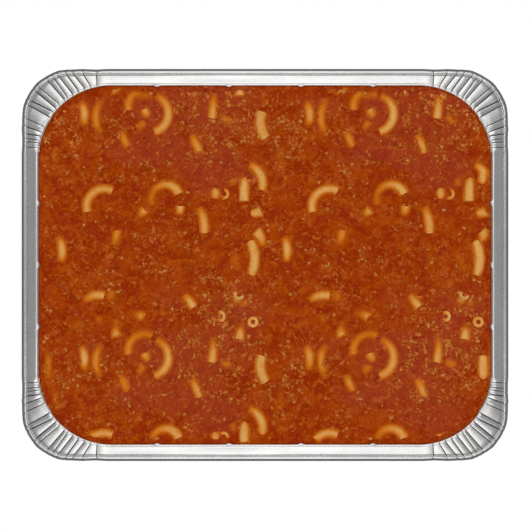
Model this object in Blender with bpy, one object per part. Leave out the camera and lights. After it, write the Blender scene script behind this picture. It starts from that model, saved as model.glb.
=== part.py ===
"""Foil tray meal: a half-size foil pan filled with elbow macaroni and beef in tomato sauce.

Metres, +Z up. The origin is on the table under the middle of the pan, whose long side runs along X.
"""

import math
import random
from collections import namedtuple

import bmesh
import bpy
from mathutils import Euler, Vector

MM = 0.001

# Driving sizes of the pan
PAN_LENGTH = 324 * MM
PAN_WIDTH = 261 * MM
PAN_HEIGHT = 65 * MM
RIM_CORNER_RADIUS = 33 * MM
LIP_LENGTH = 301.8 * MM
LIP_WIDTH = 241.4 * MM
LIP_CORNER_RADIUS = 47 * MM
FOOT_LENGTH = 265 * MM
FOOT_WIDTH = 204.6 * MM
FOOT_CORNER_RADIUS = 28 * MM
SHEET = 0.5 * MM

# Rolled rim: the bead at the outer edge, and how far the flange drops from the lip to the bead
BEAD_DIAMETER = 3.3 * MM
BEAD_RISE = 0.35 * MM
FLANGE_DROP = 1.1 * MM
LIP_BEND = 0.7 * MM

# Upper band of the wall, steeper than the taper under it
BAND_DEPTH = 9 * MM
BAND_INSET = 1.3 * MM

# Base: a flat ring that stands on the table, and a raised panel inside it
BASE_BEND = 3 * MM
RING_WIDTH = 7 * MM
PANEL_RISE = 1.2 * MM

# Ribs pressed into the walls, and pleats gathered round each corner
RIB_WIDTH = 5 * MM
RIB_DEPTH = 0.8 * MM
RIBS_LONG_SIDE = [-72 * MM, -24 * MM, 24 * MM, 72 * MM]
RIBS_SHORT_SIDE = [-41 * MM, 0.0, 41 * MM]
PLEATS_PER_CORNER = 9
PLEAT_DEPTH = 0.8 * MM

# Food: its level under the lip, its gap to the foil and the swell of its surface
SAUCE_BELOW_LIP = 7 * MM
FOOD_GAP = 0.35 * MM
FOOD_HEADROOM = 3 * MM
SWELL = 0.25 * MM
SWELL_ACROSS = 19 * MM
SWELL_DOWN = 16 * MM
SWELL_DRIFT = 29 * MM
SURFACE_CELL = 13 * MM
FOOD_CORNER_STEPS = 7
SAUCE_LEVEL = PAN_HEIGHT - SAUCE_BELOW_LIP

# Elbow macaroni: outside radius, bore, and how deep an open end is hollowed
TUBE_RADIUS = 3.7 * MM
BORE_RADIUS = 2.3 * MM
BORE_DEPTH = 3 * MM
BORE_SHOWS = 1.5
TUBE_SIDES = 8
TUBE_STEP = 4.5 * MM
MIN_WALL_CLEARANCE = 2.2 * MM

# The pasta lies in the same pattern again at this distance across and down the pan
PATTERN_ACROSS = 150.3 * MM
PATTERN_DOWN = 162.9 * MM

# Beef crumbs that are large enough to stand in the surface
CRUMB_RADIUS = 2.1 * MM
CRUMB_SINK = 0.6 * MM
CRUMB_WALL_CLEARANCE = 12 * MM
CRUMB_COUNT = 34
CRUMB_SEED = 1
Patch = namedtuple("Patch", "x y half_length half_width")
CRUMB_PATCHES = [
    Patch(-34, 84, 28, 26),
    Patch(-34, -34, 26, 22),
    Patch(-134, 84, 12, 24),
    Patch(-96, 68, 22, 22),
]

# One elbow in millimetres from the middle of the pan: the two ends and the crown of its bend.
# The third number is how far the top of the tube stands over the sauce there.
Elbow = namedtuple("Elbow", "start crown end")

# Elbows that lie flat with their whole bend in sight
LYING = [
    Elbow((-102, 49.5, 0.9), (-115.5, 47.5, 0.9), (-118.5, 35.5, 0.9)),
    Elbow((-73, 113, -0.3), (-64.5, 100, 1.0), (-73.5, 89, 0.5)),
    Elbow((-91, 103.5, 0.3), (-89, 113.5, 0.1), (-75.5, 116.5, -0.4)),
    Elbow((-75, 40.5, -0.2), (-70, 53, 0.3), (-57.5, 47.5, 1.4)),
    Elbow((-2, 102, 1.6), (-3, 94, 2.2), (0.5, 85, 1.8)),
    Elbow((-9.5, 15.5, 1.0), (-7, 5, 2.3), (-9, -6, 0.8)),
    Elbow((-10.5, 67, -0.4), (-4, 62, 1.1), (-2, 50.5, 0.5)),
    Elbow((-13.5, 57.5, 0.4), (-14, 50.5, 1.8), (-14, 43, 2.0)),
    Elbow((-44, 38.5, -0.5), (-41, 30, 1.1), (-40.5, 21.5, 1.0)),
]

# Elbows of which only the crown, or one end, breaks the sauce
HALF_SUNK = [
    Elbow((-123, 109, -1.0), (-120.5, 101.5, 0.9), (-121.5, 93, -1.0)),
    Elbow((-109, 110, -0.8), (-113, 99, 0.3), (-109, 87.5, -0.8)),
    Elbow((-96, 90, -0.8), (-94, 84, 0.3), (-91.5, 79, -0.2)),
    Elbow((-99, -48, 1.0), (-92.5, -33.5, -0.6), (-81, -35, 0.6)),
    Elbow((-34.5, 115, -0.8), (-34.5, 106.5, 0.5), (-35.5, 98, 1.0)),
    Elbow((-49, 87, -0.5), (-46, 81, 0.6), (-43.5, 75, 0.4)),
    Elbow((-137.5, 18.5, -0.8), (-135.5, 11, 1.0), (-136.5, 2, -0.8)),
    Elbow((-98.5, 23, 0.3), (-99.5, 18.5, 0.2), (-100.5, 13.5, -0.8)),
    Elbow((-120.5, -24, -0.6), (-114.5, -20.5, 0.9), (-107.5, -20.5, 1.1)),
    Elbow((-53.5, -20, -0.2), (-50.5, -24, 0.8), (-47.5, -28, 1.2)),
    Elbow((-16, -38, -1.9), (-16.5, -44, 0.4), (-17, -50, 1.8)),
]

# Ends that point up out of the sauce, with the rest of the elbow sunk under them
UPTURNED = [
    Elbow((-80.5, 104, 0.8), (-79, 101, 0.4), (-75, 98.5, -3.6)),
    Elbow((-80, 37, 1.0), (-82.5, 34.5, 0.0), (-86.5, 32.5, -3.6)),
    Elbow((-56.5, 39.5, 1.0), (-57, 35.5, 0.2), (-59, 30.5, -4.5)),
    Elbow((-8.5, 34.5, 0.4), (-5, 35, 1.4), (-2, 36, 2.2)),
    Elbow((-6, 23, 2.0), (-3, 19, 1.0), (-1.5, 13, -0.4)),
    Elbow((-17.5, -20.5, 2.2), (-19, -24, 0.8), (-23, -29.5, -0.4)),
    Elbow((-33, 48.5, 1.3), (-33.5, 47, -2.0), (-34.5, 43.5, -6.0)),
    Elbow((-27.5, 47.5, 3.7), (-27, 47, -0.6), (-28, 45.5, -5.8)),
    Elbow((-30, -34.5, 4.0), (-30.5, -35, -0.7), (-29.5, -36.5, -5.2)),
    Elbow((-8, -38, 4.1), (-8, -38, -0.3), (-9.5, -36.5, -5.3)),
]

# One level ring of the pan: half its length and width, its corner radius and its height,
# how deep the ribs press in there, how far the pleats' creases push inwards and how far they dip
Ring = namedtuple("Ring", "half_length half_width radius z rib push dip", defaults=(0.0, 0.0, 0.0))

# Where the straight sides end and the gathered corners start, on every ring alike
CORNER_START_X = LIP_LENGTH / 2 - LIP_CORNER_RADIUS
CORNER_START_Y = LIP_WIDTH / 2 - LIP_CORNER_RADIUS


def clear_scene():
    """Remove whatever the open file holds."""
    for leftover in list(bpy.data.objects):
        bpy.data.objects.remove(leftover, do_unlink=True)


def make_material(name, colour, roughness, metallic):
    """Return a Principled material."""
    material = bpy.data.materials.new(name)
    material.use_nodes = True
    material.diffuse_color = (*colour, 1.0)
    shader = material.node_tree.nodes["Principled BSDF"]
    shader.inputs["Base Color"].default_value = (*colour, 1.0)
    shader.inputs["Roughness"].default_value = roughness
    shader.inputs["Metallic"].default_value = metallic
    return material


def link_mesh(name, mesh_builder, material=None):
    """Turn a finished bmesh into a named object of the scene."""
    bmesh.ops.recalc_face_normals(mesh_builder, faces=mesh_builder.faces)
    mesh = bpy.data.meshes.new(name)
    mesh_builder.to_mesh(mesh)
    mesh_builder.free()
    obj = bpy.data.objects.new(name, mesh)
    bpy.context.scene.collection.objects.link(obj)
    if material:
        mesh.materials.append(material)
    return obj


def blend(a, b, share):
    """Return the value that lies this share of the way from a to b."""
    return a + (b - a) * share


def rim_ring(from_edge, z, dip=0.0):
    """Return a ring of the flange or the bead, this far in from the pan's outer edge."""
    reach = (PAN_LENGTH - LIP_LENGTH) / 2
    share = from_edge / reach
    return Ring(
        PAN_LENGTH / 2 - from_edge,
        blend(PAN_WIDTH, LIP_WIDTH, share) / 2,
        blend(RIM_CORNER_RADIUS, LIP_CORNER_RADIUS, share),
        z,
        dip=dip,
    )


def wall_ring(inset, z, rib=0.0, push=0.0):
    """Return a ring of the wall or the base, this far in from the lip."""
    share = inset / ((LIP_LENGTH - FOOT_LENGTH) / 2)
    return Ring(
        LIP_LENGTH / 2 - inset,
        LIP_WIDTH / 2 - inset * (LIP_WIDTH - FOOT_WIDTH) / (LIP_LENGTH - FOOT_LENGTH),
        blend(LIP_CORNER_RADIUS, FOOT_CORNER_RADIUS, share),
        z,
        rib,
        push,
    )


def base_ring(inset, z):
    """Return a ring of the base, this far in from the foot of the wall."""
    return Ring(
        FOOT_LENGTH / 2 - inset,
        FOOT_WIDTH / 2 - inset,
        max(FOOT_CORNER_RADIUS - inset, 0.5 * FOOT_CORNER_RADIUS),
        z,
    )


def corner_point(ring, share):
    """Return place and outward direction at this share of the way round a ring's +X +Y corner.

    The way is measured along the ring: up the short side, round the arc, then along the long side.
    """
    start_x = min(CORNER_START_X, ring.half_length - ring.radius)
    start_y = min(CORNER_START_Y, ring.half_width - ring.radius)
    up = ring.half_width - ring.radius - start_y
    arc = ring.radius * math.pi / 2
    across = ring.half_length - ring.radius - start_x
    way = share * (up + arc + across)
    centre = Vector((ring.half_length - ring.radius, ring.half_width - ring.radius))
    if way <= up:
        return Vector((ring.half_length, start_y + way)), Vector((1, 0))
    if way >= up + arc:
        return Vector((centre.x - (way - up - arc), ring.half_width)), Vector((0, 1))
    angle = (way - up) / ring.radius
    outward = Vector((math.cos(angle), math.sin(angle)))
    return centre + ring.radius * outward, outward


def corner_points(ring, steps):
    """Return the points of the +X +Y corner, every second one of them in a pleat's crease."""
    points = []
    for step in range(steps + 1):
        place, outward = corner_point(ring, step / steps)
        crease = step % 2
        place = place - outward * ring.push * crease
        points.append(Vector((place.x, place.y, ring.z - ring.dip * crease)))
    return points


def side_points(ring, ribs, long_side):
    """Return the points of one straight side in the order of the rib positions."""
    reach = ring.half_width if long_side else ring.half_length
    points = []
    for rib in ribs:
        for along, depth in ((-RIB_WIDTH / 2, 0.0), (0.0, ring.rib), (RIB_WIDTH / 2, 0.0)):
            place = (rib + along, reach - depth) if long_side else (reach - depth, rib + along)
            points.append(Vector((*place, ring.z)))
    return points


def turn_half(points):
    """Return the points turned half a turn about the pan's middle."""
    return [Vector((-p.x, -p.y, p.z)) for p in points]


def ring_points(ring, corner_steps):
    """Return one closed loop round the pan, anticlockwise seen from above."""
    short_side = side_points(ring, RIBS_SHORT_SIDE, False)
    long_side = side_points(ring, RIBS_LONG_SIDE, True)
    first_corner = corner_points(ring, corner_steps)
    second_corner = [Vector((-p.x, p.y, p.z)) for p in reversed(first_corner)]
    half = short_side + first_corner + list(reversed(long_side)) + second_corner
    return half + turn_half(half)


def skin_rings(rings, corner_steps):
    """Return a closed mesh: bands between neighbouring rings, and a cap on the first and last."""
    builder = bmesh.new()
    loops = []
    for ring in rings:
        loops.append([builder.verts.new(point) for point in ring_points(ring, corner_steps)])
    for lower, upper in zip(loops, loops[1:]):
        count = len(lower)
        for i in range(count):
            j = (i + 1) % count
            builder.faces.new((lower[i], lower[j], upper[j], upper[i]))
    builder.faces.new(list(reversed(loops[0])))
    builder.faces.new(loops[-1])
    return builder


def bead_rings():
    """Return the rolled bead's rings, from the flange's top side round to its under side."""
    radius = BEAD_DIAMETER / 2
    centre_z = PAN_HEIGHT - FLANGE_DROP - radius + BEAD_RISE
    rings = []
    for degrees in (100, 50, 0, -60, -120, -180):
        angle = math.radians(degrees)
        rings.append(rim_ring(radius - radius * math.cos(angle), centre_z + radius * math.sin(angle)))
    return rings


def build_pan(material):
    """Build the foil pan as one sheet: inside of the base, wall, lip, flange, bead and back under."""
    inside = [
        base_ring(BASE_BEND + RING_WIDTH + PANEL_RISE, SHEET + PANEL_RISE),
        base_ring(BASE_BEND + RING_WIDTH, SHEET),
        base_ring(BASE_BEND, SHEET),
        wall_ring((LIP_LENGTH - FOOT_LENGTH) / 2, SHEET + BASE_BEND),
        wall_ring(BAND_INSET, PAN_HEIGHT - BAND_DEPTH, RIB_DEPTH),
        wall_ring(LIP_BEND, PAN_HEIGHT - LIP_BEND, RIB_DEPTH, PLEAT_DEPTH / 2),
    ]
    flange = [
        rim_ring((PAN_LENGTH - LIP_LENGTH) / 2, PAN_HEIGHT, PLEAT_DEPTH),
        rim_ring(BEAD_DIAMETER, PAN_HEIGHT - FLANGE_DROP, PLEAT_DEPTH),
    ]
    outside = [
        rim_ring((PAN_LENGTH - LIP_LENGTH) / 2 - SHEET, PAN_HEIGHT - SHEET, PLEAT_DEPTH),
        wall_ring(BAND_INSET - SHEET, PAN_HEIGHT - BAND_DEPTH, RIB_DEPTH),
        wall_ring((LIP_LENGTH - FOOT_LENGTH) / 2 - SHEET, BASE_BEND),
        base_ring(BASE_BEND, 0.0),
        base_ring(BASE_BEND + RING_WIDTH, 0.0),
        base_ring(BASE_BEND + RING_WIDTH + PANEL_RISE, PANEL_RISE),
    ]
    rings = inside + flange + bead_rings() + outside
    return link_mesh("foil_tray", skin_rings(rings, 2 * PLEATS_PER_CORNER), material)


def food_body():
    """Build the block of food out to the foil, from the base up to above the sauce level."""
    top = SAUCE_LEVEL + FOOD_HEADROOM
    share = (PAN_HEIGHT - LIP_BEND - top) / (BAND_DEPTH - LIP_BEND)
    rings = [
        base_ring(BASE_BEND + RING_WIDTH + PANEL_RISE + FOOD_GAP, SHEET + PANEL_RISE + FOOD_GAP),
        base_ring(BASE_BEND + FOOD_GAP, SHEET + FOOD_GAP),
        wall_ring((LIP_LENGTH - FOOT_LENGTH) / 2 + FOOD_GAP, SHEET + BASE_BEND + FOOD_GAP),
        wall_ring(BAND_INSET + FOOD_GAP, PAN_HEIGHT - BAND_DEPTH, RIB_DEPTH),
        wall_ring(blend(LIP_BEND, BAND_INSET, share) + FOOD_GAP, top, RIB_DEPTH),
    ]
    return link_mesh("macaroni_in_sauce", skin_rings(rings, FOOD_CORNER_STEPS))


def swell_at(x, y):
    """Return the height of the sauce's slow swell over its level at one place."""
    across = math.sin(x / SWELL_ACROSS + math.sin(y / SWELL_DRIFT))
    down = math.sin(y / SWELL_DOWN + math.cos(x / SWELL_DRIFT))
    return SWELL * (across + down)


def sauce_block():
    """Build the block whose top is the sauce surface, larger than the pan all round."""
    margin = 10 * MM
    across = round((PAN_LENGTH + 2 * margin) / SURFACE_CELL)
    down = round((PAN_WIDTH + 2 * margin) / SURFACE_CELL)
    builder = bmesh.new()
    bmesh.ops.create_grid(builder, x_segments=across, y_segments=down, size=0.5)
    for vert in builder.verts:
        vert.co.x *= PAN_LENGTH + 2 * margin
        vert.co.y *= PAN_WIDTH + 2 * margin
        vert.co.z = SAUCE_LEVEL + swell_at(vert.co.x, vert.co.y)
    rim = [edge for edge in builder.edges if edge.is_boundary]
    skirt = bmesh.ops.extrude_edge_only(builder, edges=rim)["geom"]
    for vert in (item for item in skirt if isinstance(item, bmesh.types.BMVert)):
        vert.co.z = -margin
    bmesh.ops.holes_fill(builder, edges=[edge for edge in builder.edges if edge.is_boundary])
    return link_mesh("sauce_block", builder)


def boolean(target, other, operation, solver):
    """Cut or join another object, or a collection of them, with the target, and apply it."""
    modifier = target.modifiers.new(operation.lower(), "BOOLEAN")
    modifier.operation = operation
    modifier.solver = solver
    if isinstance(other, bpy.types.Collection):
        modifier.operand_type = "COLLECTION"
        modifier.collection = other
    else:
        modifier.object = other
    depsgraph = bpy.context.evaluated_depsgraph_get()
    result = bpy.data.meshes.new_from_object(target.evaluated_get(depsgraph))
    target.modifiers.remove(modifier)
    target.data = result


def bend_points(start, crown, end):
    """Return evenly spaced points and headings along the arc through three points, and its axis."""
    first = crown - start
    second = end - start
    axis = first.cross(second)
    to_centre = axis.cross(first) * second.length_squared + second.cross(axis) * first.length_squared
    centre = start + to_centre / (2 * axis.length_squared)
    spoke = start - centre
    axis.normalize()
    side = axis.cross(spoke)
    sweep = math.atan2((end - centre).dot(side), (end - centre).dot(spoke)) % (2 * math.pi)
    steps = max(2, round(sweep * spoke.length / TUBE_STEP))
    points = []
    for step in range(steps + 1):
        angle = sweep * step / steps
        points.append((
            centre + spoke * math.cos(angle) + side * math.sin(angle),
            side.normalized() * math.cos(angle) - spoke.normalized() * math.sin(angle),
        ))
    return points, axis


def tube_loop(builder, centre, heading, axis, radius):
    """Add one round loop of a tube and return its vertices."""
    across = heading.cross(axis)
    loop = []
    for i in range(TUBE_SIDES):
        angle = 2 * math.pi * (i + 0.5) / TUBE_SIDES
        place = centre + radius * (math.cos(angle) * axis + math.sin(angle) * across)
        loop.append(builder.verts.new(place))
    return loop


def bridge(builder, first, second):
    """Join two loops of a tube with four-sided faces."""
    for i in range(TUBE_SIDES):
        j = (i + 1) % TUBE_SIDES
        builder.faces.new((first[i], first[j], second[j], second[i]))


def close_end(builder, loop, centre, heading, depth, axis):
    """Close a tube's end: flat for no depth, else hollowed to the bore this far along the heading."""
    if not depth:
        builder.faces.new(loop)
        return
    mouth = tube_loop(builder, centre, heading, axis, BORE_RADIUS)
    bottom = tube_loop(builder, centre + heading * depth, heading, axis, BORE_RADIUS)
    bridge(builder, loop, mouth)
    bridge(builder, mouth, bottom)
    builder.faces.new(bottom)


def clear_of_foil(points):
    """Return the points moved towards the pan's middle until the tube is clear of the wall."""
    wall = wall_ring(BAND_INSET + FOOD_GAP + RIB_DEPTH + MIN_WALL_CLEARANCE + TUBE_RADIUS, SAUCE_LEVEL)
    core = Vector((wall.half_length - wall.radius, wall.half_width - wall.radius))
    push = Vector((0, 0))
    for point in points:
        beyond = Vector((max(abs(point.x) - core.x, 0.0), max(abs(point.y) - core.y, 0.0)))
        excess = beyond.length - wall.radius
        if excess > push.length:
            push = beyond.normalized() * excess
            push.x = math.copysign(push.x, -point.x)
            push.y = math.copysign(push.y, -point.y)
    return [point + Vector((push.x, push.y, 0)) for point in points]


def add_elbow(elbow, shift, bed):
    """Add one hollow-ended elbow to the bed at this shift of the pattern, if it is in the pan."""
    crown_x = elbow.crown[0] * MM + shift[0]
    crown_y = elbow.crown[1] * MM + shift[1]
    if abs(crown_x) > LIP_LENGTH / 2 or abs(crown_y) > LIP_WIDTH / 2:
        return
    raised = SAUCE_LEVEL - TUBE_RADIUS
    ends = [Vector((x * MM + shift[0], y * MM + shift[1], z * MM + raised)) for x, y, z in elbow]
    points, axis = bend_points(*clear_of_foil(ends))
    builder = bmesh.new()
    loops = [tube_loop(builder, place, heading, axis, TUBE_RADIUS) for place, heading in points]
    for first, second in zip(loops, loops[1:]):
        bridge(builder, first, second)
    start_bore = BORE_DEPTH if elbow.start[2] > BORE_SHOWS else 0.0
    end_bore = BORE_DEPTH if elbow.end[2] > BORE_SHOWS else 0.0
    close_end(builder, loops[0], *points[0], start_bore, axis)
    close_end(builder, loops[-1], *points[-1], -end_bore, axis)
    obj = link_mesh("elbow", builder)
    bpy.context.scene.collection.objects.unlink(obj)
    bed.objects.link(obj)


def pattern_shifts():
    """Return where the pasta's pattern lies: side by side, and above and below."""
    return [(x * PATTERN_ACROSS, y * PATTERN_DOWN) for x in (0, 1) for y in (-1, 0, 1)]


def add_crumbs(bed):
    """Add the largest beef crumbs, thickest in the patches where the meat gathers."""
    draw = random.Random(CRUMB_SEED)
    for shift_x, shift_y in pattern_shifts():
        for number in range(CRUMB_COUNT):
            patch = CRUMB_PATCHES[number % len(CRUMB_PATCHES)]
            x = (patch.x + draw.uniform(-1, 1) * patch.half_length) * MM + shift_x
            y = (patch.y + draw.uniform(-1, 1) * patch.half_width) * MM + shift_y
            turn = Euler([draw.uniform(0, math.tau) for _ in range(3)])
            stretch = Vector((draw.uniform(0.8, 1.2), draw.uniform(0.6, 0.9), draw.uniform(0.5, 0.8)))
            inside_x = abs(x) < LIP_LENGTH / 2 - CRUMB_WALL_CLEARANCE
            inside_y = abs(y) < LIP_WIDTH / 2 - CRUMB_WALL_CLEARANCE
            in_corner = abs(x) > CORNER_START_X and abs(y) > CORNER_START_Y
            if not inside_x or not inside_y or in_corner:
                continue
            builder = bmesh.new()
            bmesh.ops.create_icosphere(builder, subdivisions=1, radius=CRUMB_RADIUS)
            for vert in builder.verts:
                shaped = Vector(vert.co[i] * stretch[i] for i in range(3))
                shaped.rotate(turn)
                vert.co = shaped + Vector((x, y, SAUCE_LEVEL + swell_at(x, y) - CRUMB_SINK))
            obj = link_mesh("crumb", builder)
            bpy.context.scene.collection.objects.unlink(obj)
            bed.objects.link(obj)


def keep_largest_piece(obj):
    """Delete loose scraps, so that one closed body is left."""
    builder = bmesh.new()
    builder.from_mesh(obj.data)
    unseen = set(builder.verts)
    pieces = []
    while unseen:
        stack = [unseen.pop()]
        piece = list(stack)
        while stack:
            for edge in stack.pop().link_edges:
                for vert in edge.verts:
                    if vert in unseen:
                        unseen.remove(vert)
                        stack.append(vert)
                        piece.append(vert)
        pieces.append(piece)
    pieces.sort(key=len)
    scraps = [vert for piece in pieces[:-1] for vert in piece]
    bmesh.ops.delete(builder, geom=scraps, context="VERTS")
    builder.to_mesh(obj.data)
    builder.free()


def remove_object(obj):
    """Remove a helper object once it has been used."""
    bpy.data.objects.remove(obj, do_unlink=True)


def build_food(material):
    """Build the food: the bed of sauce, with the pasta and the beef that show fused on."""
    food = food_body()
    surface = sauce_block()
    boolean(food, surface, "INTERSECT", "EXACT")
    remove_object(surface)
    bed = bpy.data.collections.new("bed")
    bpy.context.scene.collection.children.link(bed)
    for shift in pattern_shifts():
        for elbow in LYING + HALF_SUNK + UPTURNED:
            add_elbow(elbow, shift, bed)
    add_crumbs(bed)
    boolean(food, bed, "UNION", "MANIFOLD")
    for obj in list(bed.objects):
        remove_object(obj)
    bpy.data.collections.remove(bed)
    keep_largest_piece(food)
    food.data.materials.clear()
    food.data.materials.append(material)
    return food


def main():
    """Build the filled pan."""
    clear_scene()
    foil = make_material("bright_foil", (0.80, 0.80, 0.81), 0.30, 1.0)
    sauce = make_material("tomato_sauce", (0.34, 0.052, 0.007), 0.45, 0.0)
    build_pan(foil)
    build_food(sauce)


main()
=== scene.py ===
"""Dresses a foil tray meal: a half-size foil pan full of elbow macaroni and beef in tomato sauce.

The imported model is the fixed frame. Each class below makes one sub-assembly of the meal at its
real size, in metres, +Z up, with its finish. The pan's sizes repeat the ones it was built to.
"""

from __future__ import annotations

import logging
import math
import random
from collections.abc import Iterator, Sequence
from dataclasses import dataclass, field
from enum import Enum
from typing import Any

import bmesh
import bpy
import numpy as np
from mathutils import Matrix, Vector, noise


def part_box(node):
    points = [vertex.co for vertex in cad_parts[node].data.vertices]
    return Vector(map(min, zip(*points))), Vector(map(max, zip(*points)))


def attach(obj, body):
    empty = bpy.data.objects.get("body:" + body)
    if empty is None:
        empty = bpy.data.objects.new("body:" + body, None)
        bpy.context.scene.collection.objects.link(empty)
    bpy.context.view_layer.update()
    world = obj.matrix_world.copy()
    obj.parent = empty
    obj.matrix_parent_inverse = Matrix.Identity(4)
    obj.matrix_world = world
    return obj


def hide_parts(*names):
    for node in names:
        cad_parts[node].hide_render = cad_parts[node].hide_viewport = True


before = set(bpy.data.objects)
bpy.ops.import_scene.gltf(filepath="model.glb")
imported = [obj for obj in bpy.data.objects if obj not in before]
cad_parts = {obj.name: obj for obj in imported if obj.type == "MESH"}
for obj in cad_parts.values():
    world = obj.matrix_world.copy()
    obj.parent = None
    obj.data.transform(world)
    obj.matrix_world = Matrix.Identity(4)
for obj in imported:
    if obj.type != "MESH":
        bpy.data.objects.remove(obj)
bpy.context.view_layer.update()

LOG = logging.getLogger("foil_tray_meal")
MM = 0.001
Colour = tuple[float, float, float]


def paint(red: float, green: float, blue: float) -> Colour:
    """Return a paint colour, given as it looks on a screen from 0 to 255, as linear light."""
    return tuple(((level / 255 + 0.055) / 1.055) ** 2.4 for level in (red, green, blue))


def smooth(value: Any, low: float, high: float) -> Any:
    """Return 0 below low, 1 above high and an even curve between, for a number or an array."""
    share = np.clip((value - low) / (high - low), 0.0, 1.0)
    return share * share * (3 - 2 * share)


class Wire:
    """One output socket of a node tree, on which Python's arithmetic adds Math nodes."""

    def __init__(self, recipe: Recipe, socket: bpy.types.NodeSocket) -> None:
        """Keep the socket and the recipe it belongs to."""
        self.recipe = recipe
        self.socket = socket

    def math(self, operation: str, first: Any, second: Any = 0.0) -> Wire:
        """Add one Math node and return its result."""
        return self.recipe.add("ShaderNodeMath", {"operation": operation}, {0: first, 1: second})

    def __add__(self, other: Any) -> Wire:
        """Return the sum."""
        return self.math("ADD", self, other)

    __radd__ = __add__

    def __sub__(self, other: Any) -> Wire:
        """Return the difference."""
        return self.math("SUBTRACT", self, other)

    def __rsub__(self, other: Any) -> Wire:
        """Return the difference the other way round."""
        return self.math("SUBTRACT", other, self)

    def __mul__(self, other: Any) -> Wire:
        """Return the product."""
        return self.math("MULTIPLY", self, other)

    __rmul__ = __mul__

    def __pow__(self, other: Any) -> Wire:
        """Return the power."""
        return self.math("POWER", self, other)

    def between(self, low: float, high: float) -> Wire:
        """Return 0 below low, 1 above high and an even curve between."""
        settings = {"interpolation_type": "SMOOTHSTEP"}
        inputs = {"Value": self, "From Min": low, "From Max": high}
        return self.recipe.add("ShaderNodeMapRange", settings, inputs)

    def absolute(self) -> Wire:
        """Return the size without its sign."""
        return self.math("ABSOLUTE", self)

    def output(self, name: str) -> Wire:
        """Return another output of the same node."""
        sockets = (socket for socket in self.socket.node.outputs if socket.enabled)
        return Wire(self.recipe, next(socket for socket in sockets if socket.name == name))


class Recipe:
    """A node tree under construction, for a material or for geometry."""

    def __init__(self, tree: bpy.types.NodeTree) -> None:
        """Start on an empty tree."""
        self.tree = tree

    def add(
        self,
        kind: str,
        settings: dict[str, Any] | None = None,
        inputs: dict[Any, Any] | None = None,
    ) -> Wire:
        """Add one node.

        Args:
            kind: the node's type.
            settings: its own properties, set before its sockets.
            inputs: values or wires, by socket name or by place.

        Returns:
            The node's first output in use.
        """
        node = self.tree.nodes.new(kind)
        for name, value in (settings or {}).items():
            setattr(node, name, value)
        for key, value in (inputs or {}).items():
            socket = node.inputs[key] if isinstance(key, int) else self.find(node, key)
            self.feed(socket, value)
        return Wire(self, next((socket for socket in node.outputs if socket.enabled), None))

    def find(self, node: bpy.types.Node, name: str) -> bpy.types.NodeSocket:
        """Return the input in use that has this name."""
        return next(socket for socket in node.inputs if socket.enabled and socket.name == name)

    def feed(self, socket: bpy.types.NodeSocket, value: Any) -> None:
        """Link a wire to an input, or set the input's own value."""
        if isinstance(value, (list, tuple)) and value and isinstance(value[0], Wire):
            for wire in value:
                self.tree.links.new(wire.socket, socket)
        elif isinstance(value, Wire):
            self.tree.links.new(value.socket, socket)
        elif socket.type == "RGBA" and len(value) == 3:
            socket.default_value = (*value, 1.0)
        else:
            socket.default_value = value


@dataclass(frozen=True)
class Mottle:
    """A pattern of noise: how wide its lumps are, how many finer layers, how rough, how bent."""

    size: float
    detail: float = 3.0
    rough: float = 0.55
    warp: float = 0.0


class Finish(Recipe):
    """A material under construction, patterned in Object coordinates."""

    def __init__(self, name: str) -> None:
        """Start the material with an empty tree and a Principled shader."""
        self.material = bpy.data.materials.new(name)
        self.material.use_nodes = True
        super().__init__(self.material.node_tree)
        self.tree.nodes.clear()
        self.place = self.add("ShaderNodeTexCoord").output("Object")

    def stretched(self, scale: Sequence[float], turn: float = 0.0) -> Wire:
        """Return the coordinates stretched by a factor on each axis and turned about Z."""
        inputs = {"Vector": self.place, "Scale": scale, "Rotation": (0, 0, turn)}
        return self.add("ShaderNodeMapping", None, inputs)

    def noise(self, mottle: Mottle, at: Wire | None = None) -> Wire:
        """Return a pattern's noise between 0 and 1, at the object's own or other coordinates."""
        inputs = {
            "Vector": at or self.place,
            "Scale": 1 / mottle.size,
            "Detail": mottle.detail,
            "Roughness": mottle.rough,
            "Distortion": mottle.warp,
        }
        return self.add("ShaderNodeTexNoise", None, inputs)

    def attribute(self, name: str) -> Wire:
        """Return a number that is stored on the mesh."""
        return self.add("ShaderNodeAttribute", {"attribute_name": name}).output("Fac")

    def mix(self, share: Any, first: Any, second: Any) -> Wire:
        """Return a colour between two others."""
        settings = {"data_type": "RGBA", "clamp_factor": True}
        return self.add("ShaderNodeMix", settings, {"Factor": share, "A": first, "B": second})

    def layered(self, ground: Wire, layers: Sequence[tuple[Wire, Colour]]) -> Wire:
        """Return a colour with others laid over it in turn, each as strong as its mask."""
        for mask, colour in layers:
            ground = self.mix(mask, ground, colour)
        return ground

    def bump(self, height: Wire, depth: float, under: Wire | None = None) -> Wire:
        """Return a normal that follows a height of this many metres."""
        inputs = {"Height": height, "Distance": depth, "Strength": 1.0}
        if under:
            inputs["Normal"] = under
        return self.add("ShaderNodeBump", None, inputs)

    def close(self, **sockets: Any) -> bpy.types.Material:
        """Add the Principled shader with these sockets, link it and return the material."""
        inputs = {name.replace("_", " "): value for name, value in sockets.items()}
        shader = self.add("ShaderNodeBsdfPrincipled", None, inputs)
        self.add("ShaderNodeOutputMaterial", None, {"Surface": shader})
        return self.material


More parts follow.
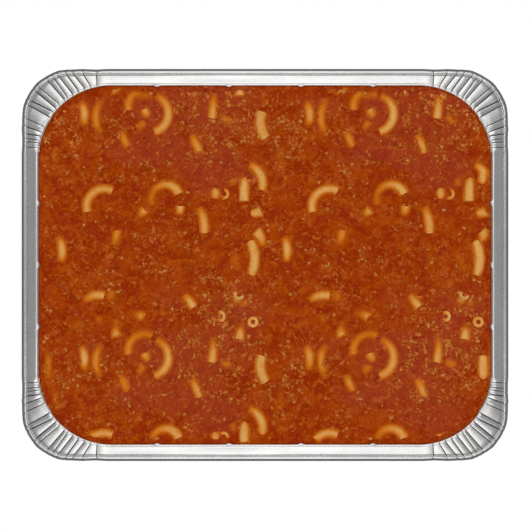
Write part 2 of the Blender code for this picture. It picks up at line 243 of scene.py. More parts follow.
class GeometryRecipe(Recipe):
    """A Geometry Nodes tree with named inputs."""

    def __init__(self, name: str) -> None:
        """Start the tree with its geometry input and output."""
        super().__init__(bpy.data.node_groups.new(name, "GeometryNodeTree"))
        self.identifiers: dict[str, str] = {}
        for way in ("INPUT", "OUTPUT"):
            self.tree.interface.new_socket("Geometry", in_out=way, socket_type="NodeSocketGeometry")
        self.entry = self.tree.nodes.new("NodeGroupInput")

    @property
    def geometry(self) -> Wire:
        """Return the geometry that comes in."""
        return Wire(self, self.entry.outputs[0])

    def size(self, name: str, kind: str = "Float") -> Wire:
        """Add a named input and return it."""
        kind = f"NodeSocket{kind}"
        own = self.tree.interface.new_socket(name, in_out="INPUT", socket_type=kind).identifier
        self.identifiers[name] = own
        return Wire(self, next(item for item in self.entry.outputs if item.identifier == own))

    def stored(self, name: str) -> Wire:
        """Return a number that is stored on the geometry."""
        return self.add("GeometryNodeInputNamedAttribute", {"data_type": "FLOAT"}, {"Name": name})

    def swollen(self, geometry: Wire, amount: Wire) -> Wire:
        """Return a geometry with its surface moved outwards by an amount."""
        along = {"Vector": self.add("GeometryNodeInputNormal"), "Scale": amount}
        offset = self.add("ShaderNodeVectorMath", {"operation": "SCALE"}, along)
        return self.add("GeometryNodeSetPosition", None, {"Geometry": geometry, "Offset": offset})

    def close(self, result: Wire, material: Wire) -> None:
        """End the tree with real geometry, smooth and in its material."""
        real = self.add("GeometryNodeRealizeInstances", None, {"Geometry": result})
        even = self.add("GeometryNodeSetShadeSmooth", None, {"Geometry": real})
        dressing = {"Geometry": even, "Material": material}
        dressed = self.add("GeometryNodeSetMaterial", None, dressing)
        self.tree.links.new(dressed.socket, self.tree.nodes.new("NodeGroupOutput").inputs[0])

    def run(self, source: bpy.types.Mesh, name: str, values: dict[str, Any]) -> bpy.types.Object:
        """Run the tree on a mesh.

        Args:
            source: the mesh that goes in.
            name: the name of the piece.
            values: what each named input is set to.

        Returns:
            A new object that holds the result as a plain mesh.
        """
        obj = link_object(name, source)
        modifier = obj.modifiers.new("recipe", "NODES")
        modifier.node_group = self.tree
        for key, value in values.items():
            modifier[self.identifiers[key]] = value
        return settle(obj)


def link_object(name: str, mesh: bpy.types.Mesh) -> bpy.types.Object:
    """Put a mesh in the scene as a named object."""
    obj = bpy.data.objects.new(name, mesh)
    bpy.context.scene.collection.objects.link(obj)
    return obj


def settle(obj: bpy.types.Object) -> bpy.types.Object:
    """Turn an object's modifiers into a plain mesh."""
    bpy.context.view_layer.update()
    evaluated = obj.evaluated_get(bpy.context.evaluated_depsgraph_get())
    mesh = bpy.data.meshes.new_from_object(evaluated)
    obj.modifiers.clear()
    obj.data = mesh
    mesh.name = obj.name
    return obj


def make_mesh(
    name: str,
    points: np.ndarray,
    faces: Sequence[Sequence[int]],
    edges: Sequence[Sequence[int]] = (),
) -> bpy.types.Mesh:
    """Return a mesh of these points, faces and loose edges."""
    mesh = bpy.data.meshes.new(name)
    mesh.from_pydata(points.tolist(), list(edges), list(faces))
    mesh.update()
    return mesh


def store(mesh: bpy.types.Mesh, name: str, values: np.ndarray) -> None:
    """Store one number for each vertex under a name that the materials read."""
    layer = mesh.attributes.new(name, "FLOAT", "POINT")
    layer.data.foreach_set("value", np.asarray(values, np.float32))


def vertex_places(mesh: bpy.types.Mesh) -> np.ndarray:
    """Return the vertices' places, one row each."""
    flat = np.empty(len(mesh.vertices) * 3, np.float32)
    mesh.vertices.foreach_get("co", flat)
    return flat.reshape(-1, 3).astype(float)


def lumps(x: np.ndarray, y: np.ndarray, size: float, layer: float) -> np.ndarray:
    """Return smooth lumps between -1 and 1 at each place, this wide and on a layer of their own."""
    return np.array([noise.noise((a / size, b / size, layer)) for a, b in zip(x, y)])


def turn_outwards(mesh: bpy.types.Mesh) -> None:
    """Make the faces of a closed mesh point outwards."""
    builder = bmesh.new()
    builder.from_mesh(mesh)
    bmesh.ops.recalc_face_normals(builder, faces=builder.faces)
    builder.to_mesh(mesh)
    builder.free()


def report(obj: bpy.types.Object) -> None:
    """Log a finished piece with its size and face count."""
    places = vertex_places(obj.data)
    spans = (places.max(axis=0) - places.min(axis=0)) / MM
    triangles = sum(len(polygon.vertices) - 2 for polygon in obj.data.polygons)
    LOG.info("%s: %.1f x %.1f x %.1f mm, %d triangles", obj.name, *spans, triangles)


@dataclass(frozen=True)
class RolledFoil:
    """Bright rolled aluminium foil, with shade painted dark down in its tight creases."""

    colour: Colour = (0.885, 0.876, 0.868)
    # Painted shade: the grey that the base colour turns to down in the deepest creases.
    painted_crease_shade: Colour = (0.42, 0.415, 0.41)
    full_painted_shade: float = 0.75
    dulling: float = 0.93
    roughness: float = 0.27
    mill_lines: Mottle = Mottle(0.4 * MM, 2.0, 0.6)
    mill_stretch: tuple[float, float, float] = (0.03, 1.0, 0.25)
    crinkles: Mottle = Mottle(9 * MM, 2.0, 0.5, 0.4)
    crinkle_depth: float = 0.05 * MM
    wear: Mottle = Mottle(20 * MM)

    def material(self) -> bpy.types.Material:
        """Return the material: faint mill lines, soft crinkles, a slightly uneven shine and shade
        painted into the creases.
        """
        finish = Finish("rolled_foil")
        lines = finish.noise(self.mill_lines, finish.stretched(self.mill_stretch))
        wear = finish.noise(self.wear)
        dull = tuple(self.dulling * part for part in self.colour)
        colour = finish.mix(wear.between(0.3, 0.8), self.colour, dull)
        # Painted shade: the base colour darkens towards the grey by how deep in a crease the mesh
        # says it lies.
        crease = finish.attribute("crease").between(0.0, self.full_painted_shade)
        return finish.close(
            Base_Color=finish.mix(crease, colour, self.painted_crease_shade),
            Metallic=1.0,
            Roughness=self.roughness + 0.02 * (lines - 0.5) + 0.05 * (wear - 0.5),
            Normal=finish.bump(finish.noise(self.crinkles), self.crinkle_depth),
        )


@dataclass(frozen=True)
class TomatoSauce:
    """Thick tomato sauce, mottled with fat, tomato and fine meat."""

    deep: Colour = paint(139, 38, 2)
    body: Colour = paint(157, 57, 3)
    orange: Colour = paint(174, 80, 9)
    red: Colour = paint(141, 34, 12)
    purple: Colour = paint(150, 52, 32)
    amber: Colour = paint(180, 92, 26)
    tan: Colour = paint(190, 112, 50)
    pasta: Colour = paint(200, 112, 22)
    dark: Colour = paint(104, 30, 3)
    roughness: float = 0.45
    sheen_level: float = 0.12
    blotches: Mottle = Mottle(14 * MM, 4.0, 0.6, 0.4)
    patches: Mottle = Mottle(4.5 * MM, 4.0, 0.65, 0.8)
    patch_depth: float = 0.5 * MM
    reds: Mottle = Mottle(8 * MM, 3.0, 0.6, 0.5)
    red_stretch: tuple[float, float, float] = (1.0, 1.3, 1.0)
    red_turn: float = 0.7
    grains: Mottle = Mottle(1.3 * MM, 2.0, 0.6)
    grain_depth: float = 0.12 * MM
    coarseness: Mottle = Mottle(11 * MM, 2.0)
    flecks: Mottle = Mottle(2.8 * MM, 3.0, 0.65, 0.6)
    shreds: Mottle = Mottle(3.2 * MM, 2.0, 0.6, 1.2)
    gathers: Mottle = Mottle(7.5 * MM, 2.0, 0.5, 0.3)

    def material(self) -> bpy.types.Material:
        """Return the material: blotches and flecks, and paler where pasta lies just under it."""
        finish = Finish("tomato_sauce")
        blotch = finish.noise(self.blotches)
        patch = finish.noise(self.patches)
        red = finish.noise(self.reds, finish.stretched(self.red_stretch, self.red_turn))
        haze = finish.attribute("purple") + 1.6 * (blotch - 0.5) + 1.2 * (patch - 0.5)
        grain = finish.noise(self.grains)
        coarse = 0.06 + 0.24 * finish.noise(self.coarseness).between(0.35, 0.65)
        fleck = finish.noise(self.flecks)
        strand = (finish.noise(self.shreds) - 0.5).absolute().between(0.05, 0.0)
        gathered = finish.noise(self.gathers).between(0.44, 0.62)
        busy = gathered * (0.35 + 0.65 * finish.attribute("meat"))
        layers = (
            (patch.between(0.48, 0.66) * 0.75, self.orange),
            (red.between(0.5, 0.64) * 0.75, self.red),
            (haze.between(0.1, 0.9) * 0.6, self.purple),
            (grain.between(0.48, 0.3) * coarse, self.dark),
            (grain.between(0.54, 0.72) * coarse, self.amber),
            (strand * fleck.between(0.35, 0.6) * (0.04 + 0.6 * busy), self.tan),
            (fleck.between(0.47, 0.34) * (0.06 + 0.7 * busy), self.dark),
            (fleck.between(0.54, 0.66) * (0.1 + 0.85 * busy), self.tan),
            (finish.attribute("pasta") * 0.9, self.pasta),
        )
        ground = finish.mix(blotch.between(0.38, 0.6), self.deep, self.body)
        return finish.close(
            Base_Color=finish.layered(ground, layers),
            Roughness=self.roughness + 0.2 * (patch - 0.5),
            Specular_IOR_Level=self.sheen_level,
            Specular_Tint=self.pasta,
            Normal=finish.bump(grain, self.grain_depth, finish.bump(patch, self.patch_depth)),
        )


@dataclass(frozen=True)
class CookedPasta:
    """Soft cooked macaroni, stained by the sauce towards its sides."""

    pale: Colour = paint(218, 164, 92)
    stained: Colour = paint(200, 112, 22)
    bore: Colour = paint(150, 62, 10)
    roughness: float = 0.5
    sheen_level: float = 0.15
    tide: Mottle = Mottle(3 * MM)
    edging: Mottle = Mottle(2.4 * MM)
    smears: Mottle = Mottle(2.2 * MM, 3.0, 0.6, 0.6)
    smear_depth: float = 0.3 * MM
    streaks: Mottle = Mottle(0.9 * MM, 2.0, 0.5)

    def material(self) -> bpy.types.Material:
        """Return the material: pale on its crown, orange where the sauce still wets it."""
        finish = Finish("cooked_pasta")
        rise = finish.attribute("rise") + 0.3 * (finish.noise(self.tide) - 0.5)
        crown = finish.attribute("crown") + 0.35 * (finish.noise(self.edging) - 0.5)
        bare = rise.between(-0.1, 1.15) * (0.25 + 0.75 * crown.between(0.4, 0.92))
        smear = finish.noise(self.smears)
        layers = (
            (finish.attribute("tone") * 0.35, self.stained),
            (finish.attribute("inside"), self.bore),
            (smear.between(0.46, 0.66) * 0.4, self.stained),
            (finish.noise(self.streaks).between(0.55, 0.75) * 0.25, self.stained),
        )
        return finish.close(
            Base_Color=finish.layered(finish.mix(bare, self.stained, self.pale), layers),
            Roughness=self.roughness,
            Specular_IOR_Level=self.sheen_level,
            Specular_Tint=self.stained,
            Normal=finish.bump(smear, self.smear_depth),
        )


@dataclass(frozen=True)
class BrownedBeef:
    """Crumbled ground beef, simmered in the sauce."""

    light: Colour = paint(203, 134, 66)
    brown: Colour = paint(146, 70, 20)
    sauced: Colour = paint(158, 62, 8)
    roughness: float = 0.6
    sheen_level: float = 0.12
    fibres: Mottle = Mottle(1.1 * MM, 3.0, 0.7, 0.5)
    fibre_depth: float = 0.2 * MM

    def material(self) -> bpy.types.Material:
        """Return the material: each crumb its own mix of tan, brown and sauce."""
        finish = Finish("browned_beef")
        fibre = finish.noise(self.fibres)
        bare = finish.attribute("rise").between(0.0, 0.75)
        share = (0.25 + 0.75 * finish.attribute("tone")) * bare
        colour = finish.mix(share, self.sauced, self.light)
        return finish.close(
            Base_Color=finish.mix(fibre.between(0.5, 0.7) * 0.45, colour, self.brown),
            Roughness=self.roughness,
            Specular_IOR_Level=self.sheen_level,
            Specular_Tint=self.light,
            Normal=finish.bump(fibre, self.fibre_depth),
        )


@dataclass(frozen=True)
class Outline:
    """A level rectangle with rounded corners, centred on the pan."""

    half_length: float
    half_width: float
    radius: float

    def corner(self, share: np.ndarray) -> tuple[np.ndarray, np.ndarray]:
        """Return places and outward directions along the +X +Y corner.

        Args:
            share: how far round the corner, from its end on the short side to the one on the long.

        Returns:
            Two arrays with a row of x and y for each share.
        """
        start_x, start_y = Pan.corner_start()
        up = self.half_width - self.radius - start_y
        arc = self.radius * math.pi / 2
        across = self.half_length - self.radius - start_x
        way = share * (up + arc + across)
        angle = np.clip((way - up) / self.radius, 0.0, math.pi / 2)
        outward = np.stack([np.cos(angle), np.sin(angle)], axis=1)
        before = np.minimum(way - up, 0.0)
        after = np.maximum(way - up - arc, 0.0)
        straight = np.stack([-after, before], axis=1)
        centre = np.array([self.half_length - self.radius, self.half_width - self.radius])
        return centre + self.radius * outward + straight, outward

    def towards(self, other: Outline, share: float) -> Outline:
        """Return the outline this share of the way to another."""
        mix = [a + (b - a) * share for a, b in zip(self.sizes(), other.sizes())]
        return Outline(*mix)

    def sizes(self) -> tuple[float, float, float]:
        """Return the three sizes."""
        return self.half_length, self.half_width, self.radius

    def grown(self, margin: float) -> Outline:
        """Return the outline this far outside."""
        return Outline(*[size + margin for size in self.sizes()])

    def distance_inside(self, x: np.ndarray, y: np.ndarray) -> np.ndarray:
        """Return how far each place lies inside the outline."""
        over_x = np.abs(x) - (self.half_length - self.radius)
        over_y = np.abs(y) - (self.half_width - self.radius)
        round_part = np.hypot(np.maximum(over_x, 0), np.maximum(over_y, 0))
        flat_part = np.minimum(np.maximum(over_x, over_y), 0)
        return self.radius - round_part - flat_part

    def inward(self, x: Any, y: Any) -> np.ndarray:
        """Return the level directions that lead most steeply away from the nearest side."""
        step = 0.1 * MM
        here = self.distance_inside(x, y)
        ahead = (self.distance_inside(x + step, y), self.distance_inside(x, y + step))
        slope = np.stack([there - here for there in ahead], axis=-1)
        return slope / np.linalg.norm(slope, axis=-1, keepdims=True)


class Pan:
    """The pan's outlines, from its lip in to its base and out to its rolled edge."""

    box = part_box("foil_tray")
    length = box[1].x - box[0].x
    width = box[1].y - box[0].y
    height = box[1].z - box[0].z
    edge = Outline(length / 2, width / 2, 33 * MM)
    lip = Outline(152.3 * MM, 121.2 * MM, 49 * MM)
    throat = Outline(150.95 * MM, 119.2 * MM, 49 * MM)
    neck = Outline(150.65 * MM, 119.35 * MM, 49 * MM)
    gather_radius = 47 * MM
    foot = Outline(132.5 * MM, 102.3 * MM, 28 * MM)
    foot_height = 3.5 * MM
    band_depth = 9 * MM
    band_inset = 0.6 * MM
    lip_bend = 1.2 * MM
    flange_drop = 1.1 * MM
    bead = 3.3 * MM
    bead_rise = 0.35 * MM
    bead_lean = 0.55 * MM
    sauce_depth = 7 * MM
    wrinkle_room = 1.05 * MM

    @classmethod
    def corner_start(cls) -> tuple[float, float]:
        """Return where the corners' gathers start along the long and the short sides."""
        return cls.lip.half_length - cls.gather_radius, cls.lip.half_width - cls.gather_radius

    @classmethod
    def rim(cls, from_edge: float) -> Outline:
        """Return an outline of the flange or bead, this far in from the outer edge."""
        return cls.edge.grown(-from_edge)

    @classmethod
    def wall(cls, inset: Any) -> Outline:
        """Return an outline of the wall, this far in from its top."""
        return cls.neck.towards(cls.foot, inset / (cls.neck.half_length - cls.foot.half_length))

    @classmethod
    def base(cls, inset: float) -> Outline:
        """Return an outline of the base, this far in from the foot of the wall."""
        radius = max(cls.foot.radius - inset, cls.foot.radius / 2)
        return Outline(cls.foot.half_length - inset, cls.foot.half_width - inset, radius)

    @classmethod
    def wall_inset(cls, z: Any) -> Any:
        """Return how far the wall's inner face at a height lies in from its top."""
        depth = cls.height - z
        in_band = cls.band_inset * (depth - cls.lip_bend) / (cls.band_depth - cls.lip_bend)
        share = (depth - cls.band_depth) / (cls.height - cls.band_depth - cls.foot_height)
        taper = cls.neck.half_length - cls.foot.half_length - cls.band_inset
        below = cls.band_inset + taper * share
        return np.where(depth < cls.band_depth, in_band, below)[()]

    @classmethod
    def sauce_level(cls) -> float:
        """Return the height of the sauce."""
        return cls.height - cls.sauce_depth

    @classmethod
    def keep_inside(cls, mesh: bpy.types.Mesh) -> None:
        """Press a mesh flat where it would touch the ribs and creases inside the wall."""
        places = vertex_places(mesh)
        x, y = places[:, 0], places[:, 1]
        outline = cls.wall(cls.wall_inset(places[:, 2]) + cls.wrinkle_room)
        shift = np.maximum(-outline.distance_inside(x, y), 0.0)
        places[:, :2] += outline.inward(x, y) * shift[:, None]
        mesh.vertices.foreach_set("co", places.ravel())
        mesh.update()


@dataclass(frozen=True)
class Fold:
    """One crease that crosses the flange at a corner and runs over the lip into the wall.

    Its places are shares of the way round the corner, from the short side to the long side.
    """

    lip: float
    edge: float
    depth: float = 0.5
    width: float = 0.35
    tilt: float = 0.0


@dataclass(frozen=True)
class Ring:
    """One level line round the sheet, and how strongly the relief shows there."""

    inner: Outline
    outer: Outline
    share: float
    z: float
    lift: float = 0.0
    push: float = 0.0
    rib: float = 0.0
    wave: float = 0.0
    sag: float = 0.0
    dent: float = 0.0


@dataclass
class FoilTray:
    """The foil pan: one sheet from the base up the wall, over the lip and round the rolled bead.

    The ledge gives shares of the way from the lip in to the throat, each with its fall in
    millimetres. The flange gives shares of the way out to the bead, each with its share of the
    groove there. The panel steps give how far in from the foot each ring of the base lies, and
    its height.
    """

    sheet: float = 0.3 * MM
    top_gap: float = 0.25 * MM
    groove: float = 0.62 * MM
    ledge: tuple[tuple[float, float], ...] = (
        (1.0, 1.3), (0.97, 0.84), (0.92, 0.55), (0.84, 0.4), (0.74, 0.31),
        (0.62, 0.245), (0.46, 0.175), (0.28, 0.105), (0.12, 0.045),
    )
    flange: tuple[tuple[float, float], ...] = (
        (0, 0), (0.07, 0), (0.15, 0), (0.26, 0), (0.4, 0),
        (0.58, 0), (0.76, 0), (0.89, 0), (0.95, 0.3), (1, 1),
    )
    flange_wave: float = 0.05 * MM
    bead_step: int = 20
    rib_columns: int = 9
    rib_width: float = 4.6 * MM
    rib_depth: float = 0.8 * MM
    rib_crest: float = 0.18
    rib_clearance: float = 0.7
    ribs_long: tuple[float, ...] = (-0.072, -0.024, 0.024, 0.072)
    ribs_short: tuple[float, ...] = (-0.041, 0.0, 0.041)
    panel_inset: float = 11.2 * MM
    panel_rise: float = 1.2 * MM
    panel_columns: tuple[float, ...] = (0.0, 0.2, 0.4, 0.6, 0.8, 1.0)
    panel_bulge: float = 0.12
    straight_step: float = 3.6 * MM
    wall_rows: int = 15
    wall_top_gap: float = 1.8 * MM
    corner_sag: float = 0.5 * MM
    sag_reach: float = 0.4
    dent_depth: float = 0.35 * MM
    dent_reach: float = 0.2
    dents: int = 6
    least_dent: float = 0.01 * MM
    slow_waves: tuple[float, float, float, float] = (0.017, 0.041, 0.013, 0.029)
    sharp_angle: float = math.radians(32)
    folds: tuple[Fold, ...] = (
        Fold(0.054, 0.045, 0.71, 0.29, 0.22),
        Fold(0.100, 0.084, 0.71, 0.29, -0.22),
        Fold(0.126, 0.106, 0.66, 0.28, 0.2),
        Fold(0.163, 0.139, 0.81, 0.39, -0.2),
        Fold(0.202, 0.191, 0.91, 0.37, 0.26),
        Fold(0.260, 0.249, 0.71, 0.32, -0.24),
        Fold(0.361, 0.345, 0.91, 0.46, 0.24),
        Fold(0.419, 0.378, 0.91, 0.37, -0.16),
        Fold(0.462, 0.460, 0.96, 0.39, 0.16),
        Fold(0.511, 0.492, 0.76, 0.32, -0.12),
        Fold(0.573, 0.572, 0.81, 0.34, 0.16),
        Fold(0.610, 0.617, 0.76, 0.32, -0.1),
        Fold(0.666, 0.653, 0.91, 0.39, 0.14),
        Fold(0.727, 0.712, 0.86, 0.46, -0.14),
        Fold(0.787, 0.761, 0.91, 0.39, 0.14),
        Fold(0.847, 0.830, 0.76, 0.32, -0.1),
        Fold(0.909, 0.928, 0.76, 0.32, 0.06),
    )
    finish: RolledFoil = field(default_factory=RolledFoil)

    def __post_init__(self) -> None:
        """Work out the columns of the mesh once."""
        reach_long, reach_short = Pan.corner_start()
        self.along_long, self.rib_long = self.straight_columns(reach_long, self.ribs_long)
        self.along_short, self.rib_short = self.straight_columns(reach_short, self.ribs_short)
        self.corner_lip, self.corner_edge, self.crease, self.bulge = self.corner_columns()
        begun, over = smooth(self.corner_lip, 0.0, 0.06), smooth(self.corner_lip, 0.24, 0.42)
        self.sagging = begun * (1 - over)

    def straight_columns(
        self, reach: float, ribs: Sequence[float]
    ) -> tuple[np.ndarray, np.ndarray]:
        """Return the columns along a straight side, and how deep the ribs are there."""
        across = np.linspace(-1.0, 1.0, self.rib_columns) * self.rib_width / 2
        marks = [rib + offset for rib in ribs for offset in across]
        free = np.linspace(-reach, reach, round(2 * reach / self.straight_step) + 1)
        away = self.rib_clearance * self.rib_width
        clear = [place for place in free if min(abs(place - rib) for rib in ribs) > away]
        places = np.array(sorted(marks + clear))
        nearest = np.min(np.abs(places[:, None] - np.array(ribs)[None, :]), axis=1)
        return places, 1 - smooth(nearest, self.rib_crest * self.rib_width, 0.5 * self.rib_width)

    def corner_columns(self) -> tuple[np.ndarray, np.ndarray, np.ndarray, np.ndarray]:
        """Return the columns round a corner.

        Returns:
            Their shares at the lip and at the bead, how deep the creases are in millimetres, and
            how high the panels between the creases stand in millimetres.
        """
        columns = []
        way = Pan.lip.radius * math.pi / 2 / MM
        before = Fold(0.0, 0.0, 0.0, 0.0)
        for fold in (*self.folds, Fold(1.0, 1.0, 0.0, 0.0)):
            low = before.lip + before.width / way
            high = fold.lip - fold.width / way
            for share in self.panel_columns:
                place = low + (high - low) * share
                span = (place - before.lip) / (fold.lip - before.lip)
                height = before.tilt * (share - 0.5) + self.panel_bulge * math.sin(math.pi * share)
                columns.append((place, before.edge + (fold.edge - before.edge) * span, 0.0, height))
            if fold.width:
                columns.append((fold.lip, fold.edge, fold.depth, 0.0))
            before = fold
        return tuple(np.array(columns[1:-1]).T)

    def half_loop(self, ring: Ring) -> np.ndarray:
        """Return the places round half a ring: short side, corner, long side, corner."""
        even = ring.inner.towards(ring.outer, ring.share)
        short_side = even.half_length - self.rib_short * ring.rib * self.rib_depth
        long_side = even.half_width - self.rib_long * ring.rib * self.rib_depth
        short = np.stack([short_side, self.along_short], axis=1)
        long = np.stack([self.along_long, long_side], axis=1)[::-1]
        inner, outward = ring.inner.corner(self.corner_lip)
        outer, _ = ring.outer.corner(self.corner_edge)
        relief = (self.bulge - self.crease) * MM
        chord = 2 * (self.corner_edge * self.dents % 1) - 1
        outwards = relief * ring.push - self.dent_depth * ring.dent * (1 - chord**2)
        if ring.dent:
            outwards = np.minimum(outwards, -self.least_dent)
        corner = inner + (outer - inner) * ring.share + outward * outwards[:, None]
        lift = relief * ring.lift - self.corner_sag * ring.sag * self.sagging
        flat = np.concatenate([short, corner, long, (corner * (-1, 1))[::-1]])
        level = np.concatenate([np.zeros(len(short)), lift, np.zeros(len(long)), lift[::-1]])
        return np.column_stack([flat, ring.z + level])

    def loop(self, ring: Ring) -> np.ndarray:
        """Return the places round a whole ring, anticlockwise from above, with its slow waves."""
        half = self.half_loop(ring)
        whole = np.concatenate([half, half * (-1, -1, 1)])
        x, y = whole[:, 0], whole[:, 1]
        one, bend, other, lean = self.slow_waves
        wave = np.sin(x / one + 2 * np.sin(y / bend)) + np.sin(y / other - x / lean + 1.0)
        whole[:, 2] += ring.wave * wave
        return whole

    def wall_ring(self, z: float, outwards: float = 0.0) -> Ring:
        """Return a ring of the wall at a height, this far outwards of its inner face."""
        outline = Pan.wall(Pan.wall_inset(z)).grown(outwards)
        height = z / Pan.height
        wrinkled = float(smooth(height, 0.08, 0.5) * (1 - 0.7 * smooth(height, 0.78, 0.97)))
        rib = float(smooth(z, 5 * MM, 14 * MM))
        return Ring(outline, outline, 0.0, z, push=wrinkled, rib=rib)

    def base_rings(self, lift: float) -> list[Ring]:
        """Return the rings of the base from its raised panel out, this far above the table."""
        steps = (
            (self.panel_inset + 2 * MM, self.panel_rise),
            (self.panel_inset + 0.4 * MM, self.panel_rise - 0.1 * MM),
            (self.panel_inset - 0.8 * MM, 0.1 * MM),
            (self.panel_inset - 1.4 * MM, 0.0),
            (3.6 * MM, 0.0),
            (2.2 * MM, 0.2 * MM),
            (1.0 * MM, 0.9 * MM),
            (0.3 * MM, 2.0 * MM),
        )
        return [Ring(Pan.base(inset), Pan.base(inset), 0.0, z + lift) for inset, z in steps]

    def lip_rings(self, drop: float) -> list[Ring]:
        """Return the rings over the lip and out along the flange, this far under its top side."""
        rings = []
        for share, fall in self.ledge:
            outline = Pan.lip.towards(Pan.throat, share).grown(drop * share)
            z = Pan.height - self.top_gap - fall * MM - drop
            rings.append(Ring(outline, outline, 0.0, z, 1 - share, 0.3 * share, share, sag=1.0))
        valley = Pan.rim(Pan.bead)
        for share, dip in self.flange:
            fade = 1 - 0.5 * float(smooth(share, 0.85, 1.0))
            z = Pan.height - self.top_gap - drop - Pan.flange_drop * share - self.groove * dip
            wave = self.flange_wave * math.sin(math.pi * share)
            sag = max(0.0, 1 - share / self.sag_reach) ** 2
            dent = 0.5 * max(0.0, share - (1 - self.dent_reach)) / self.dent_reach
            rings.append(Ring(Pan.lip, valley, share, z, fade, wave=wave, sag=sag, dent=dent))
        return rings

    def bead_rings(self) -> list[Ring]:
        """Return the rings round the rolled bead, from the flange's top side to its under side."""
        radius = Pan.bead / 2
        centre = Pan.height - Pan.flange_drop - radius + Pan.bead_rise
        rings = []
        for degrees in range(180 - self.bead_step, -180, -self.bead_step):
            across, up = math.cos(math.radians(degrees)), math.sin(math.radians(degrees))
            outline = Pan.rim(radius - radius * across + Pan.bead_lean * max(0.0, up))
            z = centre + radius * up
            rings.append(Ring(outline, outline, 1.0, z, 0.15, 0.25, dent=0.75 + 0.25 * across))
        return rings

    def rings(self) -> list[Ring]:
        """Return every ring of the sheet: up the inside, round the bead, and down the outside."""
        heights = np.linspace(Pan.foot_height, Pan.height - self.wall_top_gap, self.wall_rows)
        inside = [self.wall_ring(z) for z in heights]
        outside = [self.wall_ring(z, self.sheet) for z in reversed(heights)]
        over = self.lip_rings(0.0)
        under = list(reversed(self.lip_rings(self.sheet)))
        base = self.base_rings(self.sheet)
        underneath = list(reversed(self.base_rings(0.0)))
        return base + inside + over + self.bead_rings() + under + outside + underneath

    def painted_shade_marks(self, ring: Ring) -> np.ndarray:
        """Return how deep in a crease each place round a ring lies, from 0 to 1, which sets the
        painted crease shade.
        """
        corner = self.crease / self.crease.max() * min(1.0, 1.2 * (ring.lift + ring.push))
        short, long = np.zeros(len(self.along_short)), np.zeros(len(self.along_long))
        return np.concatenate([short, corner, long, corner[::-1]] * 2)

    def build(self) -> bpy.types.Object:
        """Build the sheet as one closed mesh in its finish."""
        rings = self.rings()
        loops = [self.loop(ring) for ring in rings]
        count = len(loops[0])
        last = (len(loops) - 1) * count
        faces = []
        for row in range(0, last, count):
            for i in range(count):
                j = (i + 1) % count
                faces.append((row + i, row + j, row + count + j, row + count + i))
        faces.append(list(range(count)))
        faces.append(list(range(last, last + count)))
        mesh = make_mesh("foil_pan", np.concatenate(loops), faces)
        turn_outwards(mesh)
        # The crease depths are stored as the mask of the shade painted into the creases.
        store(mesh, "crease", np.concatenate([self.painted_shade_marks(ring) for ring in rings]))
        mesh.shade_smooth()
        mesh.set_sharp_from_angle(angle=self.sharp_angle)
        mesh.materials.append(self.finish.material())
        return link_object("foil_pan", mesh)


class Lie(Enum):
    """How an elbow lies: on the sauce, sunk in it, with an open end up, or wholly under it."""

    FLAT = "flat"
    SUNK = "sunk"
    UPTURNED = "upturned"
    UNDER = "under"


@dataclass(frozen=True)
class Elbow:
    """One elbow of macaroni, in millimetres from the middle of the pan.

    Start, crown and end are the two ends and the crown of its bend, each as x, y and how far the
    top of the tube stands over the sauce.
    """

    lie: Lie
    start: tuple[float, float, float]
    crown: tuple[float, float, float]
    end: tuple[float, float, float]


